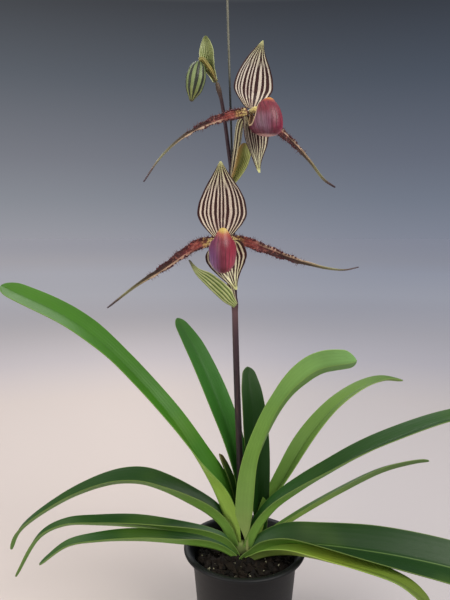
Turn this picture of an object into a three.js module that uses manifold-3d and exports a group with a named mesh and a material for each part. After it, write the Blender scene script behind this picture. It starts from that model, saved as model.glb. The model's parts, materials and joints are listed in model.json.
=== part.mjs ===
// A slipper orchid with two open flowers and a bud, in a black nursery pot.
// Millimetres, Z up, front of the plant towards -Y, origin in the middle of the pot's underside.
import * as THREE from 'three';
import { mergeVertices } from 'three/addons/utils/BufferGeometryUtils.js';
import Module from 'manifold-3d';

const wasm = await Module();
wasm.setup();

// Room left between two pieces that touch on the plant.
const GAP = 0.3;

// Pot: a tapered wall with a thin rolled lip and round drain holes in its floor.
const POT = {
  height: 119, rimRadius: 65, rimBand: 4, rimLip: 3.2, shoulderRadius: 55.9, footRadius: 46.5,
  wall: 2.2, floor: 2.6, sides: 40, drainHoles: 6, drainRadius: 4, drainCircle: 31,
  footRound: 2, rimRound: 1.4, fillet: 2,
};

// Potting bark: its level, how rough it is, and the grid that carries the relief.
const SOIL = {
  level: 105, relief: 2.6, crowned: 3, rings: 8, spokes: 30, edgeDrop: 4, sideDrop: 8, slack: 0.5,
};

// The short stem that the leaves clasp, from inside the bark up to the heart of the fan.
const CROWN = {
  foot: 84, top: 124, centre: [-2, -1], radius: [[0, 4], [0.3, 9.5], [0.75, 9.5], [1, 5]], flatten: 0.68,
};

// The stake: thin wire that leans a little to the left.
const STAKE = { radius: 1.1, foot: [2, 16, 30], head: [-19, 10, 680] };

// Flower stem from the crown to the bud, with a joint at each bract.
const SCAPE = {
  line: [
    [-3, 3, 112], [-5, 3, 205], [-8, 3, 279], [-10, 3, 340], [-11, 2, 377], [-13, 5, 434],
    [-14, 4, 503], [-18, 4, 536], [-21, 3, 558], [-24.5, 2, 579], [-29, 1, 595.5],
  ],
  radius: [[0, 3.9], [0.3, 3.4], [0.54, 3.1], [0.57, 2.6], [0.8, 2.1], [1, 1.7]],
  joints: [[0.552, 0.8], [0.818, 0.9], [0.985, 0.8]], jointReach: 0.008,
};

// Leaves: root on the crown, compass bearing (0 = right, 90 = back), the middle line's reach and
// height in that upright plane, the blade's full width, how far it opens and how it rolls. Share and
// closing name how the width and the fold change along the leaf.
const LEAVES = {
  leaf_01: {
    root: [-6, 0], bearing: 173, width: 40, open: 14, share: 'wide', closing: 'closed',
    roll: [[0, 4], [0.18, 2], [0.32, -12], [0.5, -22], [1, -22]],
    line: [
      [0, 112], [9, 156], [20, 183], [40, 214], [67, 253], [100, 292], [140, 332], [180, 361], [255, 395],
    ],
  },
  leaf_02: {
    root: [0, 12], bearing: 145, width: 30, open: 18, roll: [[0, 0], [0.5, -20], [1, -26]],
    line: [[0, 112], [2, 155], [7, 196], [16, 228], [31, 261], [51, 298], [69, 326], [92, 354]],
  },
  leaf_03: {
    root: [-4, 7], bearing: 160, width: 15, open: 40, roll: [[0, 0], [1, -10]],
    line: [[0, 116], [3, 145], [6, 166], [12, 187], [24, 214]],
  },
  leaf_04: {
    root: [2, -6], bearing: -18, width: 38, open: 22, share: 'tapered',
    roll: [[0, 0], [0.25, -14], [0.4, -24], [0.7, -44], [1, -52]],
    line: [[0, 112], [-1, 150], [2, 185], [7, 217], [17, 248], [31, 278], [49, 303], [72, 322], [108, 331]],
  },
  leaf_05: {
    root: [18, 14], bearing: 108, width: 32, open: 22, roll: [[0, 0], [1, 0]],
    line: [[0, 112], [4, 150], [10, 190], [18, 230], [28, 265], [44, 300]],
  },
  leaf_06: {
    root: [12, 12], bearing: 15, width: 28, open: 22, roll: [[0, 0], [0.4, 22], [0.68, 4], [1, -4]],
    line: [
      [0, 112], [11, 150], [34, 190], [54, 222], [76, 248], [98, 267], [126, 282], [151, 287.5],
      [174, 284],
    ],
  },
  leaf_07: {
    root: [1, -2], bearing: -4, width: 36, open: 18, roll: [[0, 0], [1, 2]],
    line: [
      [0, 112], [5, 128], [11, 141], [19, 154], [31, 168], [58, 189], [86, 207.5], [114, 225], [147, 242],
      [206, 266], [260, 277],
    ],
  },
  leaf_08: {
    root: [14, 8], bearing: 16, width: 17, open: 34, roll: [[0, 0], [0.5, -24], [1, -30]],
    line: [[0, 108], [16, 125], [45, 140.5], [98, 163], [152, 181], [196, 185.5], [212, 184.5]],
  },
  leaf_09: {
    root: [0, -6], bearing: -11, width: 56, open: 22, share: 'broad',
    roll: [[0, 0], [0.35, 6], [0.7, 20], [1, 26]],
    line: [
      [0, 106], [10, 116], [22, 127], [43, 135.5], [80, 136], [121, 134], [160, 130.5], [208, 123.5],
      [245, 115],
    ],
  },
  leaf_10: {
    root: [-1, -9], bearing: -21, width: 34, open: 14, share: 'slim', roll: [[0, -10], [0.8, -10], [1, 10]],
    line: [
      [0, 105], [12, 113], [26, 121], [50, 128], [75, 129], [94, 128], [122, 126], [154, 121],
      [172, 113], [188, 100],
    ],
  },
  leaf_11: {
    root: [-9, 0], bearing: 176, width: 40, open: 18, share: 'narrowing', closing: 'long',
    roll: [[0, 0], [1, -2]],
    line: [
      [0, 110], [10, 140], [26, 157], [50, 171], [77, 183], [100, 189.5], [125, 189], [153, 181],
      [193, 161], [239, 125], [249, 103],
    ],
  },
  leaf_12: {
    root: [-9, -4], bearing: 186, width: 30, open: 18, share: 'narrowing', closing: 'long',
    roll: [[0, 0], [0.3, 6], [1, 6]],
    line: [
      [0, 109], [12, 126], [29, 134.5], [61, 143], [102, 151], [143, 155], [178, 155], [203, 143], [229, 100],
    ],
  },
  leaf_13: {
    root: [-7, -8], bearing: 194, width: 28, open: 20, share: 'slender', closing: 'long',
    roll: [[0, 0], [0.3, 6], [1, 6]],
    line: [[0, 106], [16, 121], [37, 131], [70, 139.5], [107, 147], [145, 150], [174, 148], [201, 131]],
  },
};
const LEAF = { edge: 0.9, keel: 1.9, rows: 20, bow: 0.24, foldLimit: 0.45 };
const LEAF_SHARES = {
  plain: [[0, 0.5], [0.12, 0.66], [0.35, 0.88], [0.6, 1], [0.85, 0.82], [0.95, 0.52], [1, 0.12]],
  wide: [
    [0, 0.45], [0.04, 0.55], [0.08, 0.8], [0.14, 1], [0.23, 1.03], [0.32, 0.88], [0.42, 0.77], [0.52, 0.72],
    [0.63, 0.72], [0.75, 0.86], [0.86, 0.88], [0.95, 0.74], [1, 0.2],
  ],
  broad: [[0, 0.45], [0.12, 0.6], [0.35, 0.84], [0.6, 1], [0.88, 0.98], [0.96, 0.6], [1, 0.12]],
  slim: [[0, 0.34], [0.06, 0.4], [0.18, 0.64], [0.35, 0.88], [0.6, 1], [0.85, 0.82], [0.95, 0.52], [1, 0.12]],
  tapered: [
    [0, 0.24], [0.06, 0.28], [0.11, 0.46], [0.15, 0.76], [0.22, 0.96], [0.3, 0.98], [0.42, 0.84], [0.55, 0.7],
    [0.67, 0.66], [0.8, 0.86], [0.9, 0.94], [0.97, 0.66], [1, 0.2],
  ],
  narrowing: [
    [0, 0.5], [0.12, 0.66], [0.32, 0.88], [0.46, 1], [0.58, 0.86], [0.7, 0.68], [0.85, 0.5], [1, 0.1],
  ],
  slender: [
    [0, 0.34], [0.06, 0.4], [0.18, 0.64], [0.35, 0.88], [0.58, 1], [0.7, 0.86], [0.8, 0.68], [1, 0.1],
  ],
};
const LEAF_CLOSING = {
  plain: [[0, 1], [0.1, 0.93], [0.25, 0.6], [0.5, 0.2], [1, 0]],
  long: [[0, 1], [0.12, 0.97], [0.22, 0.9], [0.4, 0.45], [0.6, 0.28], [1, 0]],
  closed: [[0, 1], [0.12, 0.98], [0.18, 0.86], [0.33, 0.4], [0.6, 0.1], [1, 0]],
};
const CLASP_ANGLE = 70;

// Flowers: where the parts meet, which way the flower turns about the upright, its nod, and how
// broad the lower sepal is against the full size.
const FLOWERS = {
  lower: { centre: [-24, -30, 443], turn: 2, nod: 4, stalkFoot: [-11, -2, 379], breadth: 1 },
  upper: { centre: [3, -22, 563], turn: 37, nod: -2, stalkFoot: [-14, 0, 505], breadth: 0.8 },
};

// Middle lines of the petals and sepals in each flower's own frame (right, front, up).
const FLOWER_LINES = {
  lower: {
    petal_left: [[-4, 1, 1], [-20, 0, -1], [-34, -1, -9], [-56, -4, -25], [-84, -12, -44], [-114, -21, -68]],
    petal_right: [
      [4, 1, 1], [20, 0, 1], [37, -0.5, -5], [53, -2, -11], [70, -4, -17.5], [86, -6, -22],
      [102, -9, -26.3], [122, -14, -29], [137, -18, -27],
    ],
    dorsal_sepal: [[0, 0, 3], [0, -2, 20], [0, 2, 40], [-1, 11, 58], [-2, 22, 74]],
    synsepal: [
      [0, 0, -2], [2.2, 1, -8], [4, 2, -14], [5.5, 4, -21], [7.6, 8, -29], [10.6, 12, -37], [13.5, 15, -43],
    ],
  },
  upper: {
    petal_left: [[-4, 1, 0], [-18, 0, -3], [-50, 2, -14], [-80, 3, -30], [-101, 2, -48], [-116, 0, -68]],
    petal_right: [[4, 1, 0], [20, 0, -6], [48, 0, -20], [76, 0, -39], [97, 0, -57], [115, 0, -65]],
    dorsal_sepal: [[0, 0, 3], [0, -2, 17], [-1, 3, 33], [-2, 12, 47], [-3, 22, 58]],
    synsepal: [[0, 0, -3], [1, 1, -16], [2, 3, -32], [2, 6, -46], [1, 10, -56]],
  },
};
const PETAL = {
  widths: {
    lower: [[0, 8.6], [0.1, 10], [0.24, 8.8], [0.4, 7], [0.55, 5.2], [0.7, 3.6], [0.93, 2.8], [1, 2]],
    upper: [[0, 8], [0.1, 8.4], [0.28, 7.2], [0.42, 5.4], [0.55, 4], [0.7, 3], [0.93, 2.6], [1, 2]],
  },
  roll: [[0, 8], [0.4, 22], [1, 70]],
  thick: 1.1, rows: 38, wartedUpTo: 0.5, warts: 9, wartHeight: 0.9, ruffles: 6, ruffle: 1.1,
};
const DORSAL = {
  width: [[0, 12], [0.1, 28], [0.2, 39.5], [0.33, 46], [0.46, 43.5], [0.6, 35.5], [0.85, 13], [1, 2]],
  cup: 7, thick: 1, rows: 14,
};
const SYNSEPAL = {
  width: [[0, 26], [0.07, 34], [0.14, 37.5], [0.28, 39], [0.47, 33], [0.66, 21], [0.85, 9], [1, 2]],
  cup: 6, thick: 1, rows: 12,
};

// The slippers: a pouch that reaches forward, its mouth open upwards and back. The rim's height is
// given from the front (0) round to the claw at the back (1), the girth is given from sole to rim,
// and lean is how far the top stands back.
const LIP = { front: 19, back: 18.5, floor: -25, slope: 0.16, wall: 1.3, rows: 9, sides: 18 };
const LIPS = {
  lower: {
    centre: 24, halfWidth: 12.6, lean: 0,
    rim: [
      [0, 16], [0.11, 15.2], [0.22, 11.5], [0.28, 7], [0.33, 5], [0.44, 2.5], [0.67, -2], [0.83, -7], [1, 0],
    ],
    girth: [[0, 0.3], [0.08, 0.62], [0.25, 0.92], [0.5, 1], [0.6, 0.98], [0.7, 0.92], [0.8, 0.8], [1, 0.6]],
  },
  upper: {
    centre: 21, halfWidth: 13.8, lean: 6,
    rim: [
      [0, 8], [0.12, 7.4], [0.24, 5.6], [0.33, 3.5], [0.39, 0], [0.45, -7], [0.52, -12.5], [0.6, -15],
      [0.75, -14.5], [0.87, -10], [1, 0],
    ],
    girth: [[0, 0.36], [0.08, 0.68], [0.25, 0.95], [0.5, 1], [0.75, 0.93], [0.9, 0.8], [1, 0.64]],
  },
};

// Column and its shield, the beak that hangs over the slipper's mouth.
const COLUMN = {
  line: [[-4, 0], [3, 1], [9, 1.5], [13, -1], [15, -7]],
  radius: [[0, 3.2], [0.35, 4], [0.7, 4.2], [0.9, 2.6], [1, 1.2]],
  flatten: 0.62, rows: 8, sides: 10,
};

// Stalk and ovary behind each flower, and the nodding bud with its stalk.
const OVARY = {
  radius: [[0, 2.2], [0.3, 3], [0.75, 3.4], [1, 2.6]], rows: 9, sides: 10,
  approach: [[11, -6], [5, -1], [0.5, 0]], sag: 3,
};
const BUD = {
  line: [[-46, -4, 613.5], [-48, -4, 603], [-50.5, -4, 590], [-53.6, -4, 576.5]],
  radius: [[0, 2.6], [0.15, 7.2], [0.42, 9.4], [0.7, 7.8], [0.93, 2.8], [1, 1]],
  stalk: [
    [-29.5, 1, 596.6], [-31.4, 1.4, 601], [-34.4, -0.4, 606], [-38.4, -2.6, 611], [-42.4, -4.2, 615.2],
    [-45.9, -4, 614.4],
  ],
  stalkRadius: [[0, 1.9], [0.6, 2.2], [1, 2.4]],
};

// Bracts: folded sheaths that stand at each joint of the stem.
const BRACTS = {
  bract_lower: {
    line: [
      [-12, -5, 377], [-21.5, -10, 383], [-30.5, -13, 391.5], [-41, -14, 402], [-50, -13.5, 412],
      [-56.5, -12, 425],
    ],
    inside: [0.75, 0.1, 0.65], fold: 58, width: [[0, 11], [0.3, 31], [0.6, 27], [0.9, 9], [1, 2]],
  },
  bract_upper: {
    line: [
      [-13.6, 1.8, 501.5], [-11.8, -3.4, 505.5], [-9, -7.2, 511], [-6, -9, 518], [-3.6, -9, 526],
      [-2.6, -8, 532], [-2.5, -6, 537.5],
    ],
    inside: [0.2, -0.9, 0.3], fold: 50,
    width: [[0, 8], [0.3, 15], [0.55, 19.5], [0.75, 18], [0.92, 9], [1, 2]],
  },
  bract_bud: {
    line: [
      [-29.6, 2.5, 595.5], [-31.8, 4.6, 602], [-34.4, 5.6, 609], [-36, 5.4, 617], [-37.4, 4.4, 625],
      [-40, 2.5, 638.5],
    ],
    inside: [-0.25, -0.95, -0.1], fold: 48,
    width: [[0, 8], [0.22, 14.5], [0.42, 20.5], [0.62, 20.5], [0.85, 12], [1, 2]],
  },
};
const BRACT = { edge: 0.8, keel: 1.2, rows: 12, bow: 0.25, closing: [[0, 1.2], [0.6, 1], [1, 0.6]] };

const COLOURS = {
  pot: ['#26282b', 0.42], soil: ['#1f1a15', 0.95], stake: ['#3b3f35', 0.5], crown: ['#5c6b33', 0.7],
  leaf: ['#2f6b25', 0.38], scape: ['#34191f', 0.6], bract: ['#8f9a3c', 0.55], ovary: ['#6f7a3f', 0.6],
  sepal: ['#b9ab8a', 0.55], petal: ['#5d2b26', 0.6], lip: ['#8e2143', 0.35], column: ['#c9b257', 0.6],
  bud: ['#6d8742', 0.55],
};

const point = ([x, y, z]) => new THREE.Vector3(x, y, z);
const angle = THREE.MathUtils.degToRad;

// A smooth value between [place, value] stops that never passes beyond them.
function along(stops) {
  const last = stops.length - 1;
  const span = i => stops[i + 1][0] - stops[i][0];
  const rise = i => (stops[i + 1][1] - stops[i][1]) / span(i);
  const slopes = stops.map((stop, i) => {
    if (i === 0) return rise(0);
    if (i === last) return rise(last - 1);
    return rise(i - 1) * rise(i) <= 0 ? 0 : 2 / (1 / rise(i - 1) + 1 / rise(i));
  });
  return place => {
    const at = THREE.MathUtils.clamp(place, stops[0][0], stops[last][0]);
    let i = 0;
    while (i < last - 1 && at > stops[i + 1][0]) i += 1;
    const u = (at - stops[i][0]) / span(i);
    const ease = u * u * (3 - 2 * u);
    const pull = span(i) * u * (1 - u) * (slopes[i] * (1 - u) - slopes[i + 1] * u);
    return stops[i][1] * (1 - ease) + stops[i + 1][1] * ease + pull;
  };
}

// An indexed mesh from corner points and triples of corner numbers.
function skin(corners, triangles) {
  const geometry = new THREE.BufferGeometry().setFromPoints(corners);
  geometry.setIndex(new THREE.BufferAttribute(new Uint32Array(triangles.flat()), 1));
  return geometry;
}

// Places along a stalk, evenly spaced.
function evenPlaces(rows) {
  return Array.from({ length: rows + 1 }, (_, i) => i / rows);
}

// Places along a blade, closer together towards the tip.
function rowPlaces(rows) {
  return Array.from({ length: rows + 1 }, (_, i) => 1 - (1 - i / rows) ** 1.25);
}

// Point, direction along, direction across and direction of the inner face at a place on a line.
function frameAt(curve, place, acrossHint, roll = 0) {
  const origin = curve.getPointAt(place);
  const ahead = curve.getTangentAt(place);
  const across = acrossHint.clone().addScaledVector(ahead, -acrossHint.dot(ahead)).normalize();
  across.applyAxisAngle(ahead, angle(roll));
  return { origin, ahead, across, inner: ahead.clone().cross(across) };
}

// A thin blade between an inner and an outer face, closed at its edges and ends. Both faces are
// split into triangles along the same diagonals, so that a bent blade never crosses itself.
function blade({ curve, across, roll = () => 0, places, columns, shape, half }, swell = 0) {
  const frames = places.map((place, i) => {
    const frame = frameAt(curve, place, across, roll(place));
    const end = i === 0 ? -1 : i === places.length - 1 ? 1 : 0;
    frame.origin.addScaledVector(frame.ahead, end * swell);
    return frame;
  });
  const middle = frames.map(({ origin, across: side, inner }, i) => columns.map(column => {
    const [out, up] = shape(column, places[i], swell);
    return origin.clone().addScaledVector(side, out).addScaledVector(inner, up);
  }));
  const rows = middle.length;
  const width = columns.length;
  const faces = [1, -1].map(face => middle.map((row, i) => row.map((corner, j) => {
    const forward = middle[Math.min(i + 1, rows - 1)][j].clone().sub(middle[Math.max(i - 1, 0)][j]);
    const sideways = row[Math.min(j + 1, width - 1)].clone().sub(row[Math.max(j - 1, 0)]);
    const normal = forward.cross(sideways).normalize();
    return corner.clone().addScaledVector(normal, face * (half(columns[j], places[i]) + swell));
  })));
  const corners = faces.flat(2);
  const top = (i, j) => i * width + j;
  const under = (i, j) => rows * width + i * width + j;
  const triangles = [];
  const quad = (a, b, c, d) => triangles.push([a, b, c], [a, c, d]);
  for (let i = 0; i < rows - 1; i += 1) {
    for (let j = 0; j < width - 1; j += 1) {
      quad(top(i, j), top(i + 1, j), top(i + 1, j + 1), top(i, j + 1));
      triangles.push([under(i, j), under(i + 1, j + 1), under(i + 1, j)]);
      triangles.push([under(i, j), under(i, j + 1), under(i + 1, j + 1)]);
    }
    quad(top(i + 1, 0), top(i, 0), under(i, 0), under(i + 1, 0));
    quad(top(i, width - 1), top(i + 1, width - 1), under(i + 1, width - 1), under(i, width - 1));
  }
  for (let j = 0; j < width - 1; j += 1) {
    quad(top(0, j), top(0, j + 1), under(0, j + 1), under(0, j));
    quad(top(rows - 1, j + 1), top(rows - 1, j), under(rows - 1, j), under(rows - 1, j + 1));
  }
  return skin(corners, triangles);
}

// A round or flattened stalk along a line, closed by a point at each end.
function stalk({ curve, across, radius, places, sides, flatten = 1 }, swell = 0) {
  const corners = [];
  const triangles = [];
  const rows = places.length - 1;
  for (let i = 0; i <= rows; i += 1) {
    const end = i === 0 ? -1 : i === rows ? 1 : 0;
    const { origin, ahead, across: side, inner } = frameAt(curve, places[i], across);
    origin.addScaledVector(ahead, end * swell);
    const reach = radius(places[i]) + swell;
    for (let k = 0; k < sides; k += 1) {
      const turn = k / sides * 2 * Math.PI;
      const spoke = side.clone().multiplyScalar(Math.cos(turn) * reach);
      corners.push(origin.clone().add(spoke).addScaledVector(inner, Math.sin(turn) * reach * flatten));
    }
  }
  const ring = (i, k) => i * sides + k % sides;
  const foot = corners.push(curve.getPointAt(0).addScaledVector(curve.getTangentAt(0), -swell)) - 1;
  const head = corners.push(curve.getPointAt(1).addScaledVector(curve.getTangentAt(1), swell)) - 1;
  for (let k = 0; k < sides; k += 1) {
    for (let i = 0; i < rows; i += 1) {
      triangles.push([ring(i, k), ring(i, k + 1), ring(i + 1, k + 1)]);
      triangles.push([ring(i, k), ring(i + 1, k + 1), ring(i + 1, k)]);
    }
    triangles.push([foot, ring(0, k + 1), ring(0, k)], [head, ring(rows, k), ring(rows, k + 1)]);
  }
  return skin(corners, triangles);
}

const spline = points => new THREE.CatmullRomCurve3(points.map(point), false, 'centripetal');

function solid(geometry) {
  const triVerts = Uint32Array.from(geometry.index.array);
  const vertProperties = Float32Array.from(geometry.attributes.position.array);
  return new wasm.Manifold(new wasm.Mesh({ numProp: 3, vertProperties, triVerts }));
}

// The largest single body of a cut or joined solid.
function largestBody(shape) {
  const bodies = shape.decompose().sort((a, b) => b.volume() - a.volume());
  const { numProp, vertProperties, triVerts } = bodies[0].getMesh();
  const geometry = new THREE.BufferGeometry();
  geometry.setAttribute('position', new THREE.BufferAttribute(vertProperties.slice(), numProp));
  geometry.setIndex(new THREE.BufferAttribute(triVerts.slice(), 1));
  return geometry;
}

// A lathe or cylinder with the corners along its seams joined, ready to be cut.
function joined(geometry) {
  geometry.deleteAttribute('normal');
  geometry.deleteAttribute('uv');
  return mergeVertices(geometry, 1e-4);
}

// Cuts each piece clear of those listed before it, which keep their whole shape.
function fitTogether(pieces) {
  const fitted = [];
  for (const { name, make } of pieces) {
    const geometry = make(0);
    geometry.computeBoundingBox();
    const near = fitted.filter(other => other.box.intersectsBox(geometry.boundingBox));
    const cut = near.reduce((shape, other) => shape.subtract(other.room), solid(geometry));
    const room = make(GAP);
    room.computeBoundingBox();
    fitted.push({ name, box: room.boundingBox, room: solid(room), geometry: largestBody(cut) });
  }
  return Object.fromEntries(fitted.map(({ name, geometry }) => [name, geometry]));
}

function mesh(name, geometry, finish) {
  const [colour, roughness] = COLOURS[finish];
  const material = new THREE.MeshStandardMaterial({ color: colour, roughness, metalness: 0 });
  const made = new THREE.Mesh(geometry, material);
  made.name = name;
  return made;
}

// Pot

function potGeometry() {
  const { height, rimRadius, rimBand, rimLip, shoulderRadius, footRadius, wall, floor, sides } = POT;
  const { footRound, rimRound, fillet } = POT;
  const shoulder = height - rimBand;
  const outside = [
    [0, 0], [footRadius - footRound, 0], [footRadius, footRound], [shoulderRadius, shoulder - 2 * fillet],
    [shoulderRadius + fillet, shoulder - fillet / 2], [rimRadius - rimRound, shoulder],
    [rimRadius, shoulder + rimRound], [rimRadius, height - rimRound], [rimRadius - rimRound, height],
  ];
  const inside = [
    [rimRadius - rimRound - rimLip, height], [rimRadius - rimLip - wall, height - rimRound],
    [shoulderRadius - wall + 2 * fillet, shoulder + fillet / 2],
    [shoulderRadius - wall, shoulder - 3 * fillet], [footRadius - wall, floor], [0, floor],
  ];
  const profile = [...outside, ...inside];
  const turned = new THREE.LatheGeometry(profile.map(([r, z]) => new THREE.Vector2(r, z)), sides);
  turned.rotateX(Math.PI / 2);
  let shape = solid(joined(turned));
  for (let k = 0; k < POT.drainHoles; k += 1) {
    const turn = (k + 0.5) / POT.drainHoles * 2 * Math.PI;
    const hole = new THREE.CylinderGeometry(POT.drainRadius, POT.drainRadius, 4 * floor, 12);
    hole.rotateX(Math.PI / 2);
    hole.translate(POT.drainCircle * Math.cos(turn), POT.drainCircle * Math.sin(turn), 0);
    shape = shape.subtract(solid(joined(hole)));
  }
  return largestBody(shape);
}

// Potting bark, with a rough crowned top that follows sums of waves

function soilTop(x, y) {
  const reach = Math.hypot(x, y) / POT.shoulderRadius;
  const rough = Math.sin(x * 0.61 + 1.3) * Math.cos(y * 0.55 - 0.7) + 0.8 * Math.sin(x * 0.31 - y * 0.42);
  return SOIL.level + SOIL.crowned * (1 - reach ** 2) + SOIL.relief * 0.5 * rough;
}

function soilGeometry(swell) {
  const { rings, spokes, level, edgeDrop, sideDrop, slack } = SOIL;
  const wallAt = z => {
    const straight = POT.height - POT.rimBand - 3 * POT.fillet;
    const share = Math.min((z - POT.floor) / (straight - POT.floor), 1);
    return POT.footRadius + (POT.shoulderRadius - POT.footRadius) * share - POT.wall - slack;
  };
  const corners = [];
  const triangles = [];
  const side = level - sideDrop;
  for (let i = 1; i <= rings; i += 1) {
    for (let k = 0; k < spokes; k += 1) {
      const turn = (k + (i % 2) / 2) / spokes * 2 * Math.PI;
      const reach = wallAt(side) * i / rings;
      const [x, y] = [reach * Math.cos(turn), reach * Math.sin(turn)];
      corners.push(new THREE.Vector3(x, y, swell + (i === rings ? level - edgeDrop : soilTop(x, y))));
    }
  }
  const rows = [[wallAt(side), side], [wallAt(POT.floor), POT.floor + GAP]];
  for (const [reach, z] of rows) {
    for (let k = 0; k < spokes; k += 1) {
      const turn = (k + (rings % 2) / 2) / spokes * 2 * Math.PI;
      corners.push(new THREE.Vector3(reach * Math.cos(turn), reach * Math.sin(turn), z));
    }
  }
  const middle = corners.push(new THREE.Vector3(0, 0, swell + soilTop(0, 0))) - 1;
  const under = corners.push(new THREE.Vector3(0, 0, POT.floor + GAP)) - 1;
  const ring = (i, k) => (i - 1) * spokes + k % spokes;
  for (let k = 0; k < spokes; k += 1) {
    triangles.push([middle, ring(1, k), ring(1, k + 1)]);
    for (let i = 1; i < rings + 2; i += 1) {
      const late = i % 2 === 1 || i >= rings;
      const [a, b, c, d] = [ring(i, k), ring(i, k + 1), ring(i + 1, k), ring(i + 1, k + 1)];
      if (late) triangles.push([a, c, d], [a, d, b]);
      else triangles.push([a, c, b], [b, c, d]);
    }
    triangles.push([under, ring(rings + 2, k + 1), ring(rings + 2, k)]);
  }
  return skin(corners, triangles);
}

// Pieces that stand in the bark

function crownGeometry(swell) {
  const [x, y] = CROWN.centre;
  return stalk({
    curve: spline([[x, y, CROWN.foot], [x, y, (CROWN.foot + CROWN.top) / 2], [x, y, CROWN.top]]),
    across: new THREE.Vector3(1, 0, 0), radius: along(CROWN.radius),
    flatten: CROWN.flatten, places: evenPlaces(6), sides: 14,
  }, swell);
}

function stakeGeometry(swell) {
  const curve = new THREE.LineCurve3(point(STAKE.foot), point(STAKE.head));
  const across = new THREE.Vector3(1, 0, 0);
  return stalk({ curve, across, radius: () => STAKE.radius, places: [0, 1], sides: 8 }, swell);
}

function scapeGeometry(swell) {
  const taper = along(SCAPE.radius);
  const { joints, jointReach } = SCAPE;
  const swelling = place => joints.reduce((sum, [at, size]) => (
    sum + size * Math.max(0, 1 - Math.abs(place - at) / jointReach)), 0);
  const collars = joints.flatMap(([at]) => [at - jointReach, at, at + jointReach]).filter(at => at < 1);
  const places = [...evenPlaces(16), ...collars].sort((a, b) => a - b);
  return stalk({
    curve: spline(SCAPE.line), across: new THREE.Vector3(1, 0, 0),
    radius: place => taper(place) + swelling(place), places, sides: 8,
  }, swell);
}

function leafGeometry({ root, bearing, width, roll, open, line, share = 'plain', closing = 'plain' }, swell) {
  const turn = angle(bearing);
  const outwards = line.map(([reach, height]) => (
    [root[0] + reach * Math.cos(turn), root[1] + reach * Math.sin(turn), height]));
  const widening = along(LEAF_SHARES[share]);
  const folding = along(LEAF_CLOSING[closing]);
  const foldAt = place => angle(open + (CLASP_ANGLE - open) * folding(place));
  return blade({
    curve: spline(outwards),
    across: new THREE.Vector3(-Math.sin(turn), Math.cos(turn), 0),
    roll: along(roll),
    places: rowPlaces(LEAF.rows),
    columns: [-1, -0.5, 0, 0.5, 1],
    shape: (column, place, grown) => {
      const half = width / 2 * widening(place) + grown;
      const bow = reach => foldAt(place) * (1 + LEAF.bow * (0.5 - reach));
      const lift = reach => reach * half * Math.sin(bow(reach));
      return [column * half * Math.cos(bow(Math.abs(column))), lift(Math.abs(column)) - lift(1) / 2];
    },
    half: (column, place) => {
      if (column !== 0) return (Math.abs(column) === 1 ? LEAF.edge : (LEAF.edge + LEAF.keel) / 2) / 2;
      return LEAF.keel / 2 / Math.max(Math.cos(foldAt(place)), LEAF.foldLimit);
    },
  }, swell);
}

function bractGeometry({ line, inside, fold, width }, swell) {
  const curve = spline(line);
  const chord = point(line[line.length - 1]).sub(point(line[0]));
  const full = along(width);
  const closing = along(BRACT.closing);
  return blade({
    curve, across: point(inside).cross(chord), places: rowPlaces(BRACT.rows),
    columns: [-1, -0.5, 0, 0.5, 1],
    shape: (column, place, grown) => {
      const reach = column * (full(place) / 2 + grown);
      const lift = angle(fold * closing(place)) * (1 - BRACT.bow * (1 - Math.abs(column)));
      return [reach * Math.cos(lift), Math.abs(reach) * Math.sin(lift)];
    },
    half: column => (Math.abs(column) === 1 ? BRACT.edge : BRACT.keel) / 2,
  }, swell);
}

function plantPieces() {
  const pieces = [
    { name: 'stake', make: stakeGeometry },
    { name: 'crown', make: crownGeometry },
    { name: 'soil', make: soilGeometry },
    { name: 'scape', make: scapeGeometry },
  ];
  const order = ['01', '04', '07', '02', '06', '05', '11', '09', '12', '10', '13', '08', '03'];
  for (const number of order) {
    const name = `leaf_${number}`;
    pieces.push({ name, make: swell => leafGeometry(LEAVES[name], swell) });
  }
  for (const [which, { stalkFoot }] of Object.entries(FLOWERS)) {
    pieces.push({ name: `ovary_${which}`, make: swell => ovaryGeometry(which, stalkFoot, swell) });
  }
  pieces.push({ name: 'bud_stalk', make: budStalkGeometry });
  pieces.push({ name: 'bud', make: budGeometry });
  for (const [name, bract] of Object.entries(BRACTS)) {
    pieces.push({ name, make: swell => bractGeometry(bract, swell) });
  }
  return pieces;
}

// Flowers, each a group whose own axes run right, to the front and up

function flowerGroup(which) {
  const { centre, turn, nod } = FLOWERS[which];
  const group = new THREE.Group();
  group.position.copy(point(centre));
  group.rotation.set(angle(nod), 0, angle(turn), 'ZYX');
  group.updateMatrixWorld(true);
  return group;
}

// The flower's front is its own -Y, so that an unturned flower faces the front of the plant.
const inFlower = ([right, front, up]) => [right, -front, up];

function ovaryGeometry(which, foot, swell) {
  const group = flowerGroup(which);
  const behind = OVARY.approach.map(([back, up]) => (
    group.localToWorld(point(inFlower([0, COLUMN.line[0][0] - back, up])))));
  const half = point(foot).lerp(behind[0], 0.5).add(new THREE.Vector3(0, OVARY.sag, 0));
  const line = [point(foot), half, ...behind];
  return stalk({
    curve: spline(line.map(place => place.toArray())), across: new THREE.Vector3(1, 0, 0),
    radius: along(OVARY.radius), places: evenPlaces(OVARY.rows), sides: OVARY.sides,
  }, swell);
}

function columnGeometry(swell) {
  return stalk({
    curve: spline(COLUMN.line.map(([front, up]) => inFlower([0, front, up]))),
    across: new THREE.Vector3(1, 0, 0), radius: along(COLUMN.radius),
    flatten: COLUMN.flatten, places: evenPlaces(COLUMN.rows), sides: COLUMN.sides,
  }, swell);
}

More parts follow.
